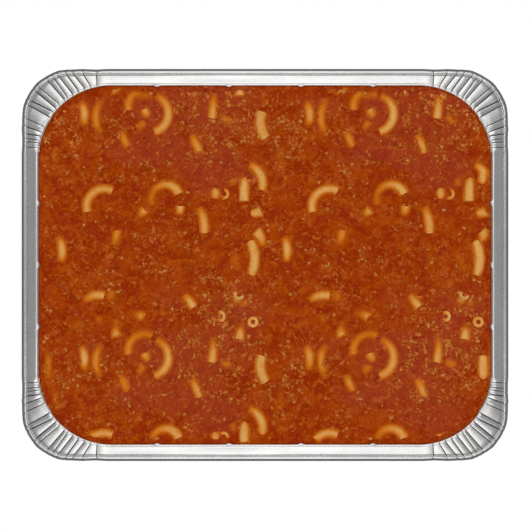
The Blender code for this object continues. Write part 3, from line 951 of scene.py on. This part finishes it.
class Pattern:
    """Where the pasta and the beef lie. The same pattern repeats across and down the pan.

    A patch of meat or of purple sauce has its middle and half sizes in millimetres and a strength.
    """

    across = 150.3 * MM
    down = 162.9 * MM
    least_meat = 0.2
    patch_edge = 0.9
    tube_radius = 3.7 * MM
    tube_wall = 2.1 * MM
    clearance = 0.5 * MM
    sinking = 0.12
    dipping = 0.55
    point_step = 1.6 * MM
    swell = 0.2 * MM
    elbows = (
        Elbow(Lie.FLAT, (-102, 49.5, 0.9), (-115.5, 47.5, 0.9), (-118.5, 35.5, 0.9)),
        Elbow(Lie.FLAT, (-73, 113, -0.3), (-64.5, 100, 1.0), (-73.5, 89, 0.5)),
        Elbow(Lie.FLAT, (-91, 103.5, 0.4), (-89, 112.5, 0.1), (-75.5, 115.5, 0.0)),
        Elbow(Lie.FLAT, (-75, 40.5, -0.2), (-70, 53, 0.3), (-57.5, 47.5, 1.4)),
        Elbow(Lie.FLAT, (-2, 102, 1.6), (-3, 94, 2.2), (0.5, 85, 1.8)),
        Elbow(Lie.FLAT, (-9.5, 15.5, 1.0), (-7, 5, 2.3), (-9, -6, 0.8)),
        Elbow(Lie.FLAT, (-10.5, 67, -0.4), (-4, 62, 1.1), (-2, 50.5, 0.5)),
        Elbow(Lie.FLAT, (-13.5, 57.5, 0.4), (-14, 50.5, 1.8), (-14, 43, 2.0)),
        Elbow(Lie.FLAT, (-44, 38.5, -0.5), (-41, 30, 1.1), (-40.5, 21.5, 1.0)),
        Elbow(Lie.SUNK, (-123, 109, -1.0), (-120.5, 101.5, 0.9), (-121.5, 93, -1.0)),
        Elbow(Lie.SUNK, (-109, 110, -0.8), (-113, 99, 0.3), (-109, 87.5, -0.8)),
        Elbow(Lie.SUNK, (-96, 90, -0.8), (-94, 84, 0.3), (-91.5, 79, -0.2)),
        Elbow(Lie.SUNK, (-99, -48, 1.7), (-92.5, -33.5, -1.5), (-81, -35, 1.3)),
        Elbow(Lie.SUNK, (-34.5, 115, -0.8), (-34.5, 106.5, 0.5), (-35.5, 98, 1.0)),
        Elbow(Lie.SUNK, (-49, 87, -0.5), (-46, 81, 0.6), (-43.5, 75, 0.4)),
        Elbow(Lie.SUNK, (-137.5, 18.5, -0.8), (-135.5, 11, 1.0), (-136.5, 2, -0.8)),
        Elbow(Lie.SUNK, (-98.5, 23, 0.3), (-99.5, 18.5, 0.2), (-100.5, 13.5, -0.8)),
        Elbow(Lie.SUNK, (-120.5, -24, -0.6), (-114.5, -20.5, 0.9), (-107.5, -20.5, 1.1)),
        Elbow(Lie.SUNK, (-53.5, -20, -0.2), (-50.5, -24, 0.8), (-47.5, -28, 1.2)),
        Elbow(Lie.SUNK, (-16, -38, -1.9), (-16.5, -44, 0.4), (-17, -50, 1.8)),
        Elbow(Lie.UPTURNED, (-80.5, 104, 0.8), (-79, 101, 0.4), (-75, 98.5, -3.6)),
        Elbow(Lie.UPTURNED, (-80, 37, 1.0), (-82.5, 34.5, 0.0), (-86.5, 32.5, -3.6)),
        Elbow(Lie.UPTURNED, (-56.5, 39.5, 1.0), (-57, 35.5, 0.2), (-59, 30.5, -4.5)),
        Elbow(Lie.UPTURNED, (-8.5, 34.5, 0.4), (-5, 35, 1.4), (-2, 36, 2.2)),
        Elbow(Lie.UPTURNED, (-6, 23, 2.0), (-3, 19, 1.0), (-1.5, 13, -0.4)),
        Elbow(Lie.UPTURNED, (-17.3, -19.8, 4.4), (-18.6, -22.3, 1.2), (-22.5, -28.2, -1.2)),
        Elbow(Lie.SUNK, (-34, 51.5, -1.1), (-33, 47.8, 1.0), (-34, 44, -1.3)),
        Elbow(Lie.UPTURNED, (-27.5, 47.5, 3.7), (-27, 47, -0.6), (-28, 45.5, -5.8)),
        Elbow(Lie.UPTURNED, (-29.8, -34.3, 4.2), (-28.3, -34.6, -0.5), (-28.0, -36.0, -5.2)),
        Elbow(Lie.UPTURNED, (-8, -38, 4.5), (-8, -38, -0.3), (-9.0, -37.0, -5.3)),
        Elbow(Lie.UNDER, (-81, 96, -0.2), (-82.5, 93.5, -0.1), (-85, 91, -0.7)),
        Elbow(Lie.UNDER, (-28.5, 100.5, -1.0), (-26, 97, 0.0), (-22.5, 97.5, -0.6)),
        Elbow(Lie.UNDER, (-102, -17, -0.4), (-102.5, -20, -0.2), (-103, -24, -1.0)),
        Elbow(Lie.UNDER, (-112.5, -34.5, -0.9), (-111, -36, -0.5), (-109.5, -37.5, -0.9)),
        Elbow(Lie.UNDER, (-14, -23.5, -0.6), (-13.5, -25.5, -0.3), (-13.5, -27.5, -0.8)),
        Elbow(Lie.UNDER, (-22.5, 57.5, -0.8), (-21.5, 55.5, -0.4), (-21.5, 53, -0.8)),
        Elbow(Lie.UNDER, (-22.5, 10, -1.3), (-19.5, 2.5, -0.8), (-18, -4.5, -1.3)),
        Elbow(Lie.UNDER, (-139, 79, -1.2), (-140, 73, -0.8), (-138.5, 67.5, -1.2)),
        Elbow(Lie.UNDER, (-130.5, -42, -1.2), (-125.5, -39.5, -0.8), (-121, -38, -1.2)),
        Elbow(Lie.UNDER, (-29.5, -11, -1.2), (-27.5, -12, -0.9), (-25.5, -13.5, -1.2)),
    )
    lone_elbows = (Elbow(Lie.SUNK, (-147, -59, -0.2), (-147.4, -67, 0.3), (-146, -76, -0.4)),)
    meat_patches = (
        (-33, 95, 30, 26, 1.0),
        (-29, -30, 27, 23, 1.0),
        (-136, 87, 12, 20, 0.8),
        (-104, 96, 9, 9, 0.7),
        (-90, 66, 26, 12, 0.25),
        (-110, -10, 22, 14, 0.35),
        (-70, 10, 22, 16, 0.3),
    )
    purple_patches = (
        (-50, 103, 42, 17, 1.0),
        (-78, 76, 26, 11, 0.9),
        (-35, 66, 22, 18, 1.0),
        (-18, -30, 20, 18, 0.8),
        (-116, 106, 14, 10, 0.5),
        (-62, -22, 14, 12, 0.4),
    )

    @classmethod
    def shifts(cls) -> list[tuple[float, float]]:
        """Return where the pattern lies: side by side, and above and below."""
        return [(x * cls.across, y * cls.down) for x in (-1, 0, 1) for y in (-1, 0, 1)]

    @classmethod
    def calm_level(cls, x: Any, y: Any) -> Any:
        """Return the height of the sauce with its slow swell but without its lumps."""
        across = np.sin(x / 0.019 + np.sin(y / 0.029))
        down = np.sin(y / 0.016 + np.cos(x / 0.029))
        return Pan.sauce_level() + cls.swell * (across + down)

    @classmethod
    def spread(
        cls, patches: Sequence[Sequence[float]], least: float, x: np.ndarray, y: np.ndarray
    ) -> np.ndarray:
        """Return how strong a list of soft round patches is at each place.

        Args:
            patches: the patches.
            least: the strength between the patches.
            x: the places' x.
            y: the places' y.

        Returns:
            A strength from the least to 1 for each place.
        """
        total = np.full_like(x, least)
        for shift_x, shift_y in cls.shifts():
            for patch_x, patch_y, half_length, half_width, strength in patches:
                across = (x - shift_x - patch_x * MM) / (half_length * MM)
                down = (y - shift_y - patch_y * MM) / (half_width * MM)
                total += strength * np.exp(-cls.patch_edge * (across**2 + down**2) ** 1.5)
        return np.clip(total, 0.0, 1.0)

    @classmethod
    def meat(cls, x: np.ndarray, y: np.ndarray) -> np.ndarray:
        """Return how thickly the beef lies at each place, from 0 to 1."""
        return cls.spread(cls.meat_patches, cls.least_meat, x, y)

    @classmethod
    def mark_rise(cls, mesh: bpy.types.Mesh) -> None:
        """Store how many millimetres each vertex stands over the calm sauce."""
        x, y, z = vertex_places(mesh).T
        store(mesh, "rise", (z - cls.calm_level(x, y)) / MM)

    @classmethod
    def bends(cls) -> Iterator[tuple[Elbow, np.ndarray]]:
        """Yield each elbow that lies in the pan with the points of its tube's middle line."""
        for shift_x, shift_y in cls.shifts():
            for elbow in cls.elbows + (cls.lone_elbows if shift_x == shift_y == 0 else ()):
                corners = []
                for x, y, top in (elbow.start, elbow.crown, elbow.end):
                    across, down = x * MM + shift_x, y * MM + shift_y
                    level = float(cls.calm_level(across, down))
                    corners.append(Vector((across, down, level + top * MM - cls.tube_radius)))
                line = cls.fitted(cls.arc(*corners))
                if len(line) > 2 or (len(line) == 2 and elbow.lie is not Lie.UNDER):
                    yield elbow, line

    @classmethod
    def fitted(cls, line: np.ndarray) -> np.ndarray:
        """Return the part of a middle line that lies in the pan, moved in where it meets a wall."""
        way = np.gradient(line, axis=0)
        way /= np.linalg.norm(way, axis=1)[:, None]
        kept = []
        before = None
        for place, along in zip(line, way):
            low = Pan.wall(Pan.wall_inset(place[2] - cls.tube_radius / 2) + cls.clearance)
            depth = float(low.distance_inside(place[0], place[1]))
            inward = low.inward(place[0], place[1])
            room = cls.tube_radius * math.sqrt(max(0.0, 1 - float(along[:2] @ inward) ** 2))
            if before and (depth > 0) != (before[1] > 0):
                share = before[1] / (before[1] - depth)
                edge = before[0] + (place - before[0]) * share
                kept.append(edge + np.array([*(inward * room), -cls.dipping * room]))
            if depth > 0:
                shift = max(0.0, room - depth)
                kept.append(place + np.array([*(inward * shift), -cls.sinking * shift]))
            elif kept:
                break
            before = (place, depth)
        return np.array(kept)

    @classmethod
    def arc(cls, start: Vector, crown: Vector, end: Vector) -> np.ndarray:
        """Return evenly spaced points on the arc through three points."""
        first = crown - start
        second = end - start
        axis = first.cross(second)
        aim = axis.cross(first) * second.length_squared + second.cross(axis) * first.length_squared
        centre = start + aim / (2 * axis.length_squared)
        spoke = start - centre
        side = axis.normalized().cross(spoke)
        sweep = math.atan2((end - centre).dot(side), (end - centre).dot(spoke)) % (2 * math.pi)
        steps = max(4, round(sweep * spoke.length / cls.point_step))
        angles = [sweep * step / steps for step in range(steps + 1)]
        turns = ((math.cos(angle), math.sin(angle)) for angle in angles)
        return np.array([centre + spoke * across + side * up for across, up in turns])


@dataclass
class SauceBed:
    """The sauce out to the foil: its surface swells over the pasta that lies just under it."""

    tray: FoilTray
    cell: float = 1.15 * MM
    film: float = 0.05 * MM
    climb: float = 0.08 * MM
    lump: float = 0.2 * MM
    coarse_lump: float = 0.0042
    fine_lump: float = 0.0019
    fine_share: float = 0.6
    smoothing: float = 0.85
    flattest: float = 0.7
    veil: float = 0.8 * MM
    cling: float = 3.4 * MM
    cling_width: float = 1.3 * MM
    pushed_aside: float = 0.8
    tube_reach: float = 20 * MM
    mouth_reach: float = 1.7 * Pattern.tube_radius
    in_foil: float = 0.15 * MM
    shore_gap: float = 1.3
    lower_rings: tuple[float, ...] = (5 * MM, 25 * MM, 45 * MM)
    base_gap: float = 0.5 * MM
    finish: TomatoSauce = field(default_factory=TomatoSauce)
    lines: list[np.ndarray] = field(init=False)

    def __post_init__(self) -> None:
        """Gather the middle lines of all the elbows once."""
        self.lines = [line for _, line in Pattern.bends()]

    def tube_tops(self, x: np.ndarray, y: np.ndarray) -> np.ndarray:
        """Return the height of the highest tube's top at each place, or far below for none."""
        nowhere = -20 * MM
        tops = np.full_like(x, Pan.sauce_level() + nowhere)
        for line in self.lines:
            way = np.gradient(line, axis=0)
            lying = np.hypot(way[:, 0], way[:, 1]) > self.flattest * np.linalg.norm(way, axis=1)
            points = line[lying]
            if len(points) < 2:
                continue
            near = np.hypot(x - points[:, 0].mean(), y - points[:, 1].mean()) < self.tube_reach
            for end, before in ((points[0], points[1]), (points[-1], points[-2])):
                out = (end - before)[:2] / np.linalg.norm((end - before)[:2])
                ahead = (x - end[0]) * out[0] + (y - end[1]) * out[1] > 0
                near &= ~(ahead & (np.hypot(x - end[0], y - end[1]) < self.mouth_reach))
            index = np.nonzero(near)[0]
            off = np.hypot(x[index, None] - points[None, :, 0], y[index, None] - points[None, :, 1])
            reach = np.sqrt(np.maximum(Pattern.tube_radius**2 - off**2, 0.0))
            reach += np.where(off < Pattern.tube_radius, 0.0, nowhere)
            tops[index] = np.maximum(tops[index], np.max(points[None, :, 2] + reach, axis=1))
        return tops

    def heights(self, x: np.ndarray, y: np.ndarray) -> tuple[np.ndarray, np.ndarray]:
        """Return the surface's height at each place, and how near the pasta under it is, 0 to 1."""
        calm = Pattern.calm_level(x, y)
        uneven = lumps(x, y, self.coarse_lump, 0.0)
        uneven += self.fine_share * lumps(x, y, self.fine_lump, 4.0)
        tops = self.tube_tops(x, y)
        free = 1 - self.smoothing * np.exp(-np.maximum(calm - tops, 0.0) / self.veil)
        level = calm + self.lump * uneven * (0.4 + 0.9 * Pattern.meat(x, y)) * free
        shore = Pan.wall(Pan.wall_inset(Pan.sauce_level()))
        offshore = np.maximum(shore.distance_inside(x, y), 0.0)
        bare = 1 - self.pushed_aside * smooth(tops - calm, -1.5 * MM, 0.0)
        level += self.cling * bare * np.exp(-offshore / self.cling_width)
        level = np.maximum(level, np.minimum(tops - self.film, calm + self.climb))
        cover = np.maximum(level - tops, 0.0)
        return level, np.exp(-cover / self.veil)

    def outline(self, z: float) -> np.ndarray:
        """Return the places round the wall at a height, just inside the foil's thickness."""
        return self.tray.loop(self.tray.wall_ring(z, self.in_foil))

    def surface_grid(self, builder: bmesh.types.BMesh, shore: Outline) -> list[bmesh.types.BMEdge]:
        """Fill the middle of the surface with square cells and return the edges round them."""
        across = round(2 * shore.half_length / self.cell)
        down = round(2 * shore.half_width / self.cell)
        xs = np.linspace(-shore.half_length, shore.half_length, across + 1)
        ys = np.linspace(-shore.half_width, shore.half_width, down + 1)
        grid_x, grid_y = np.meshgrid(xs, ys)
        inside = shore.distance_inside(grid_x, grid_y) > self.shore_gap * self.cell
        verts = {}
        for row, column in zip(*np.nonzero(inside)):
            verts[row, column] = builder.verts.new((grid_x[row, column], grid_y[row, column], 0.0))
        for row, column in list(verts):
            corners = [(row, column), (row, column + 1), (row + 1, column + 1), (row + 1, column)]
            if all(corner in verts for corner in corners):
                builder.faces.new([verts[corner] for corner in corners])
        loose = [vert for vert in builder.verts if not vert.link_faces]
        bmesh.ops.delete(builder, geom=loose, context="VERTS")
        return [edge for edge in builder.edges if edge.is_boundary]

    def build(self) -> bpy.types.Object:
        """Build the bed as one closed mesh with its attributes and finish."""
        level = Pan.sauce_level()
        below = [level - depth for depth in self.lower_rings]
        heights = [level + self.cling, *below, Pan.foot_height + self.base_gap]
        builder = bmesh.new()
        shore = Pan.wall(Pan.wall_inset(level))
        rim = self.surface_grid(builder, shore)
        loops = [[builder.verts.new(place) for place in self.outline(z)] for z in heights]
        count = len(loops[0])
        edge_pairs = zip(loops[0], loops[0][1:] + loops[0][:1])
        top_edges = [builder.edges.new(pair) for pair in edge_pairs]
        for vert in loops[0]:
            vert.co.z = 0.0
        bmesh.ops.triangle_fill(builder, use_beauty=True, edges=rim + top_edges)
        top = [vert for vert in builder.verts if vert.co.z == 0.0]
        places = np.array([vert.co[:2] for vert in top])
        surface, _ = self.heights(places[:, 0], places[:, 1])
        for vert, z in zip(top, surface):
            vert.co.z = z
        for upper, lower in zip(loops, loops[1:]):
            for i in range(count):
                j = (i + 1) % count
                builder.faces.new((upper[i], upper[j], lower[j], lower[i]))
        builder.faces.new(loops[-1])
        bmesh.ops.recalc_face_normals(builder, faces=builder.faces)
        mesh = bpy.data.meshes.new("sauce_bed")
        builder.to_mesh(mesh)
        builder.free()
        mesh.shade_smooth()
        self.mark(mesh)
        mesh.materials.append(self.finish.material())
        return link_object("sauce_bed", mesh)

    def mark(self, mesh: bpy.types.Mesh) -> None:
        """Store what the finish reads: how near the pasta is, how much meat and how purple."""
        places = vertex_places(mesh)
        x, y = places[:, 0], places[:, 1]
        _, pasta = self.heights(x, y)
        on_top = places[:, 2] > Pan.sauce_level() - 2 * MM
        store(mesh, "pasta", pasta * on_top)
        store(mesh, "meat", Pattern.meat(x, y))
        store(mesh, "purple", Pattern.spread(Pattern.purple_patches, 0.0, x, y))


@dataclass
class Macaroni:
    """The elbows that break the surface, as real hollow tubes."""

    sides: int = 18
    unevenness: float = 0.35 * MM
    wobble: float = 180.0
    seed: int = 4
    girths: tuple[float, float] = (0.97, 1.04)
    elbow_reach: float = 24 * MM
    sharp_angle: float = math.radians(55)
    finish: CookedPasta = field(default_factory=CookedPasta)

    def centre_lines(self) -> bpy.types.Mesh:
        """Return the middle lines of the elbows as one mesh of loose edges, each with its tone."""
        draw = random.Random(self.seed)
        points, edges, tones, girths = [], [], [], []
        for elbow, line in Pattern.bends():
            if elbow.lie is Lie.UNDER:
                continue
            first = len(points)
            points.extend(line)
            edges.extend((first + i, first + i + 1) for i in range(len(line) - 1))
            tones.extend([draw.random()] * len(line))
            girths.extend([draw.uniform(*self.girths)] * len(line))
        mesh = make_mesh("macaroni_lines", np.array(points), (), edges)
        store(mesh, "tone", np.array(tones))
        store(mesh, "girth", np.array(girths))
        return mesh

    def recipe(self) -> GeometryRecipe:
        """Return the tree that turns the lines into uneven tubes."""
        recipe = GeometryRecipe("macaroni_tubes")
        radius = recipe.size("Radius")
        sides = recipe.size("Sides", "Int")
        uneven = recipe.size("Unevenness")
        material = recipe.size("Material", "Material")
        girth = recipe.stored("girth")
        line = recipe.add("GeometryNodeMeshToCurve", None, {"Mesh": recipe.geometry})
        circle = {"Resolution": sides, "Radius": radius}
        ring = recipe.add("GeometryNodeCurvePrimitiveCircle", None, circle)
        sweep = {"Curve": line, "Profile Curve": ring, "Scale": girth}
        tube = recipe.add("GeometryNodeCurveToMesh", None, sweep)
        wobble = recipe.add("ShaderNodeTexNoise", None, {"Scale": self.wobble, "Detail": 1.0})
        recipe.close(recipe.swollen(tube, (wobble - 0.5) * uneven), material)
        return recipe

    def build(self) -> bpy.types.Object:
        """Build the tubes, give them their wall and store what the finish reads."""
        material = self.finish.material()
        values = {
            "Radius": Pattern.tube_radius,
            "Sides": self.sides,
            "Unevenness": self.unevenness,
            "Material": material,
        }
        tubes = self.recipe().run(self.centre_lines(), "macaroni", values)
        turn_outwards(tubes.data)
        wall = tubes.modifiers.new("wall", "SOLIDIFY")
        wall.thickness = Pattern.tube_wall
        wall.offset = -1.0
        settle(tubes)
        Pan.keep_inside(tubes.data)
        tubes.data.shade_smooth()
        tubes.data.set_sharp_from_angle(angle=self.sharp_angle)
        Pattern.mark_rise(tubes.data)
        inside, crown = self.across_tubes(vertex_places(tubes.data))
        store(tubes.data, "inside", inside)
        store(tubes.data, "crown", crown)
        return tubes

    def across_tubes(self, places: np.ndarray) -> tuple[np.ndarray, np.ndarray]:
        """Return where the vertices lie across their tubes.

        Args:
            places: the vertices' places, one row each.

        Returns:
            1 inside a bore and 0 outside or at its mouth, and
            1 on a tube's crown and 0 at its sides.
        """
        nearest = np.full(len(places), 1.0)
        inside = np.zeros(len(places))
        crown = np.ones(len(places))
        middle = Pattern.tube_radius - Pattern.tube_wall / 2
        for elbow, line in Pattern.bends():
            away = np.linalg.norm(places - line.mean(axis=0), axis=1)
            near = np.nonzero(away < self.elbow_reach)[0]
            gaps = np.linalg.norm(places[near, None, :] - line[None, :, :], axis=2)
            gap, step = gaps.min(axis=1), gaps.argmin(axis=1)
            closer = gap < nearest[near]
            within = (gap < middle) & (step > 0) & (step < len(line) - 1)
            inside[near[closer]] = within[closer]
            over = (places[near, 2] - line[step, 2]) / Pattern.tube_radius
            mouth = (step == 0) | (step == len(line) - 1)
            over = np.where(mouth & (elbow.lie is Lie.UPTURNED), 1.0, over)
            crown[near[closer]] = over[closer]
            nearest[near[closer]] = gap[closer]
        return inside, crown


@dataclass
class BeefCrumbs:
    """Ground beef scattered in the sauce, thickest where it gathers."""

    bed: SauceBed
    density: float
    smallest: float
    largest: float
    facets: int
    name: str
    seed: int
    clump: float = 5.5 * MM
    clump_layer: float = 9.0
    gathering: float = 1.4
    rings: int = 5
    spare: float = 0.3
    ground_step: float = 2 * MM
    sunk: float = 0.28
    size_bias: float = 1.6
    lean: float = 0.4
    knobs: float = 1.7
    knob_scale: float = 2.3
    knob_shift: float = 3.7
    stretches: tuple[tuple[float, float, float], ...] = (
        (1.2, 0.9, 0.5), (1.0, 0.85, 0.6), (1.45, 0.7, 0.45),
    )

    def ground(self) -> bpy.types.Mesh:
        """Return the surface that the crumbs are sown on, with how thickly they lie."""
        shore = Pan.wall(Pan.wall_inset(Pan.sauce_level()) + self.largest + Pattern.clearance)
        xs = np.arange(-shore.half_length, shore.half_length, self.ground_step)
        ys = np.arange(-shore.half_width, shore.half_width, self.ground_step)
        grid_x, grid_y = (axis.ravel() for axis in np.meshgrid(xs, ys))
        z, pasta = self.bed.heights(grid_x, grid_y)
        width = len(xs)
        faces = []
        for row in range(len(ys) - 1):
            for column in range(width - 1):
                first = row * width + column
                faces.append((first, first + 1, first + width + 1, first + width))
        mesh = make_mesh(self.name, np.column_stack([grid_x, grid_y, z]), faces)
        inside = shore.distance_inside(grid_x, grid_y) > 0
        clump = lumps(grid_x, grid_y, self.clump, self.clump_layer)
        gathered = 0.03 + 2.6 * smooth(clump, 0.08, 0.32)
        thick = Pattern.meat(grid_x, grid_y) ** self.gathering
        store(mesh, "sown", thick * gathered * (pasta < self.spare) * inside)
        return mesh

    def recipe(self) -> GeometryRecipe:
        """Return the tree that sows three shapes of crumb."""
        recipe = GeometryRecipe(f"{self.name}_recipe")
        density = recipe.size("Density")
        seed = recipe.size("Seed", "Int")
        smallest = recipe.size("Smallest")
        largest = recipe.size("Largest")
        facets = recipe.size("Facets", "Int")
        material = recipe.size("Material", "Material")
        sowing = {"Mesh": recipe.geometry, "Density": recipe.stored("sown") * density, "Seed": seed}
        spots = recipe.add("GeometryNodeDistributePointsOnFaces", None, sowing)
        shapes = [self.crumb(recipe, facets, number) for number in range(len(self.stretches))]
        kinds = recipe.add("GeometryNodeJoinGeometry", None, {"Geometry": shapes})
        low, high = (-self.lean, -self.lean, 0), (self.lean, self.lean, math.tau)
        spin = self.draw(recipe, "FLOAT_VECTOR", low, high, 1)
        size = self.draw(recipe, "FLOAT", 0.0, 1.0, 2)
        spread = smallest + (largest - smallest) * size**self.size_bias
        depth = recipe.add("ShaderNodeCombineXYZ", None, {"Z": -self.sunk * spread})
        sunk = recipe.add("GeometryNodeSetPosition", None, {"Geometry": spots, "Offset": depth})
        placing = {
            "Points": sunk,
            "Instance": kinds,
            "Pick Instance": True,
            "Instance Index": self.draw(recipe, "INT", 0, len(self.stretches) - 1, 3),
            "Rotation": spin,
            "Scale": spread,
        }
        crumbs = recipe.add("GeometryNodeInstanceOnPoints", None, placing)
        tone = self.draw(recipe, "FLOAT", 0.0, 1.0, 5)
        toning = {"Geometry": crumbs, "Name": "tone", "Value": tone}
        per_crumb = {"data_type": "FLOAT", "domain": "INSTANCE"}
        recipe.close(recipe.add("GeometryNodeStoreNamedAttribute", per_crumb, toning), material)
        return recipe

    def draw(self, recipe: GeometryRecipe, kind: str, low: Any, high: Any, seed: int) -> Wire:
        """Return one random value for each point or instance."""
        inputs = {"Min": low, "Max": high, "Seed": seed}
        return recipe.add("FunctionNodeRandomValue", {"data_type": kind}, inputs)

    def crumb(self, recipe: GeometryRecipe, facets: Wire, number: int) -> Wire:
        """Return one crumb of unit radius, knobbly and flattened, as an instance."""
        sphere = {"Radius": 1.0, "Segments": facets, "Rings": self.rings}
        ball = recipe.add("GeometryNodeMeshUVSphere", None, sphere)
        pattern = {"W": self.knob_shift * number, "Scale": self.knob_scale, "Detail": 2.0}
        knobs = recipe.add("ShaderNodeTexNoise", {"noise_dimensions": "4D"}, pattern)
        knobbly = recipe.swollen(ball, (knobs - 0.5) * self.knobs)
        flattening = {"Geometry": knobbly, "Scale": self.stretches[number]}
        shaped = recipe.add("GeometryNodeTransform", None, flattening)
        return recipe.add("GeometryNodeGeometryToInstance", None, {"Geometry": shaped})

    def build(self, material: bpy.types.Material) -> bpy.types.Object:
        """Sow the crumbs."""
        values = {
            "Density": self.density,
            "Seed": self.seed,
            "Smallest": self.smallest,
            "Largest": self.largest,
            "Facets": self.facets,
            "Material": material,
        }
        crumbs = self.recipe().run(self.ground(), self.name, values)
        Pan.keep_inside(crumbs.data)
        Pattern.mark_rise(crumbs.data)
        return crumbs


@dataclass
class Studio:
    """A pale floor, soft light and the camera straight above the pan."""

    view_width: float = 352.4 * MM
    lens: float = 200.0
    sensor: float = 36.0
    far: float = 20.0
    floor_reach: float = 3.0
    floor_gap: float = 0.2 * MM
    key_power: float = 50.0
    key_size: tuple[float, float] = (1.8, 1.8)
    key_height: float = 2.4
    panel_glow: float = 1.05
    panel_size: tuple[float, float] = (0.4, 0.35)
    panel_place: tuple[float, float] = (0.255, 0.565)
    middle_glow: float = 0.38
    middle_size: tuple[float, float] = (0.2, 0.16)
    sky_top: float = 0.285
    sky_side: float = 0.14
    sky_rise: tuple[float, float] = (0.3, 0.9)

    def camera(self) -> None:
        """Place the camera so that the picture is as wide as the photo at the height of the rim."""
        data = bpy.data.cameras.new("camera")
        data.lens = self.lens
        data.sensor_width = self.sensor
        data.clip_end = self.far
        camera = bpy.data.objects.new("camera", data)
        camera.location.z = Pan.height + self.view_width * self.lens / self.sensor
        bpy.context.scene.collection.objects.link(camera)
        bpy.context.scene.camera = camera

    def light(
        self, name: str, place: Sequence[float], size: Sequence[float], power: float, shiny: bool
    ) -> None:
        """Hang one soft rectangular light that faces down.

        Args:
            name: the name of the light.
            place: where its middle is.
            size: its length and width.
            power: its power in watts.
            shiny: true for one that only shows in the foil, false for one that only lights.
        """
        data = bpy.data.lights.new(name, "AREA")
        data.shape = "RECTANGLE"
        data.size, data.size_y = size
        data.energy = power
        light = bpy.data.objects.new(name, data)
        light.location = place
        light.visible_camera = False
        light.visible_glossy = shiny
        light.visible_diffuse = not shiny
        bpy.context.scene.collection.objects.link(light)

    def floor(self) -> None:
        """Lay a plain white floor just under the pan."""
        corners = ((-1, -1), (1, -1), (1, 1), (-1, 1))
        points = np.array([(*corner, 0) for corner in corners]) * self.floor_reach
        points[:, 2] = -self.floor_gap
        floor = link_object("floor", make_mesh("floor", points, [(0, 1, 2, 3)]))
        material = Finish("white_floor").close(
            Base_Color=(0, 0, 0),
            Roughness=1.0,
            Specular_IOR_Level=0.0,
            Emission_Color=(1, 1, 1),
            Emission_Strength=1.0,
        )
        floor.data.materials.append(material)
        floor.visible_glossy = False

    def world(self) -> None:
        """Fill the room with grey light, brighter above than round about."""
        world = bpy.data.worlds.new("room")
        world.use_nodes = True
        recipe = Recipe(world.node_tree)
        recipe.tree.nodes.clear()
        way = recipe.add("ShaderNodeTexCoord").output("Generated")
        up = recipe.add("ShaderNodeSeparateXYZ", None, {"Vector": way}).output("Z")
        glow = self.sky_side + (self.sky_top - self.sky_side) * up.between(*self.sky_rise)
        sky = recipe.add("ShaderNodeBackground", None, {"Color": (1.0, 1.0, 1.0), "Strength": glow})
        recipe.add("ShaderNodeOutputWorld", None, {"Surface": sky})
        bpy.context.scene.world = world

    def build(self) -> None:
        """Set up the floor, the lights and the camera."""
        self.floor()
        self.world()
        self.light("key", (0.0, 0.0, self.key_height), self.key_size, self.key_power, False)
        away, height = self.panel_place
        for name, side, size, glow in (
            ("back_panel", away, self.panel_size, self.panel_glow),
            ("front_panel", -away, self.panel_size, self.panel_glow),
            ("middle_panel", 0.0, self.middle_size, self.middle_glow),
        ):
            self.light(name, (0.0, side, height), size, glow * math.pi * size[0] * size[1], True)
        self.camera()
        bpy.context.scene.view_settings.view_transform = "Standard"


def main() -> None:
    """Build the meal piece by piece, then the studio round it."""
    logging.basicConfig(level=logging.INFO, format="%(name)s: %(message)s")
    tray = FoilTray()
    pan = tray.build()
    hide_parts("foil_tray")
    bed = SauceBed(tray)
    sauce = bed.build()
    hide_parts("macaroni_in_sauce")
    macaroni = Macaroni().build()
    beef = BrownedBeef().material()
    crumbs = BeefCrumbs(bed, 215_000.0, 0.8 * MM, 2.1 * MM, 8, "beef_crumbs", 3).build(beef)
    grounds = BeefCrumbs(bed, 150_000.0, 0.45 * MM, 0.9 * MM, 5, "beef_grounds", 8).build(beef)
    for piece in (macaroni, crumbs, grounds):
        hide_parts("macaroni_in_sauce")
    for piece in (pan, sauce, macaroni, crumbs, grounds):
        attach(piece, "root")
        report(piece)
    Studio().build()


if __name__ == "__main__":
    main()
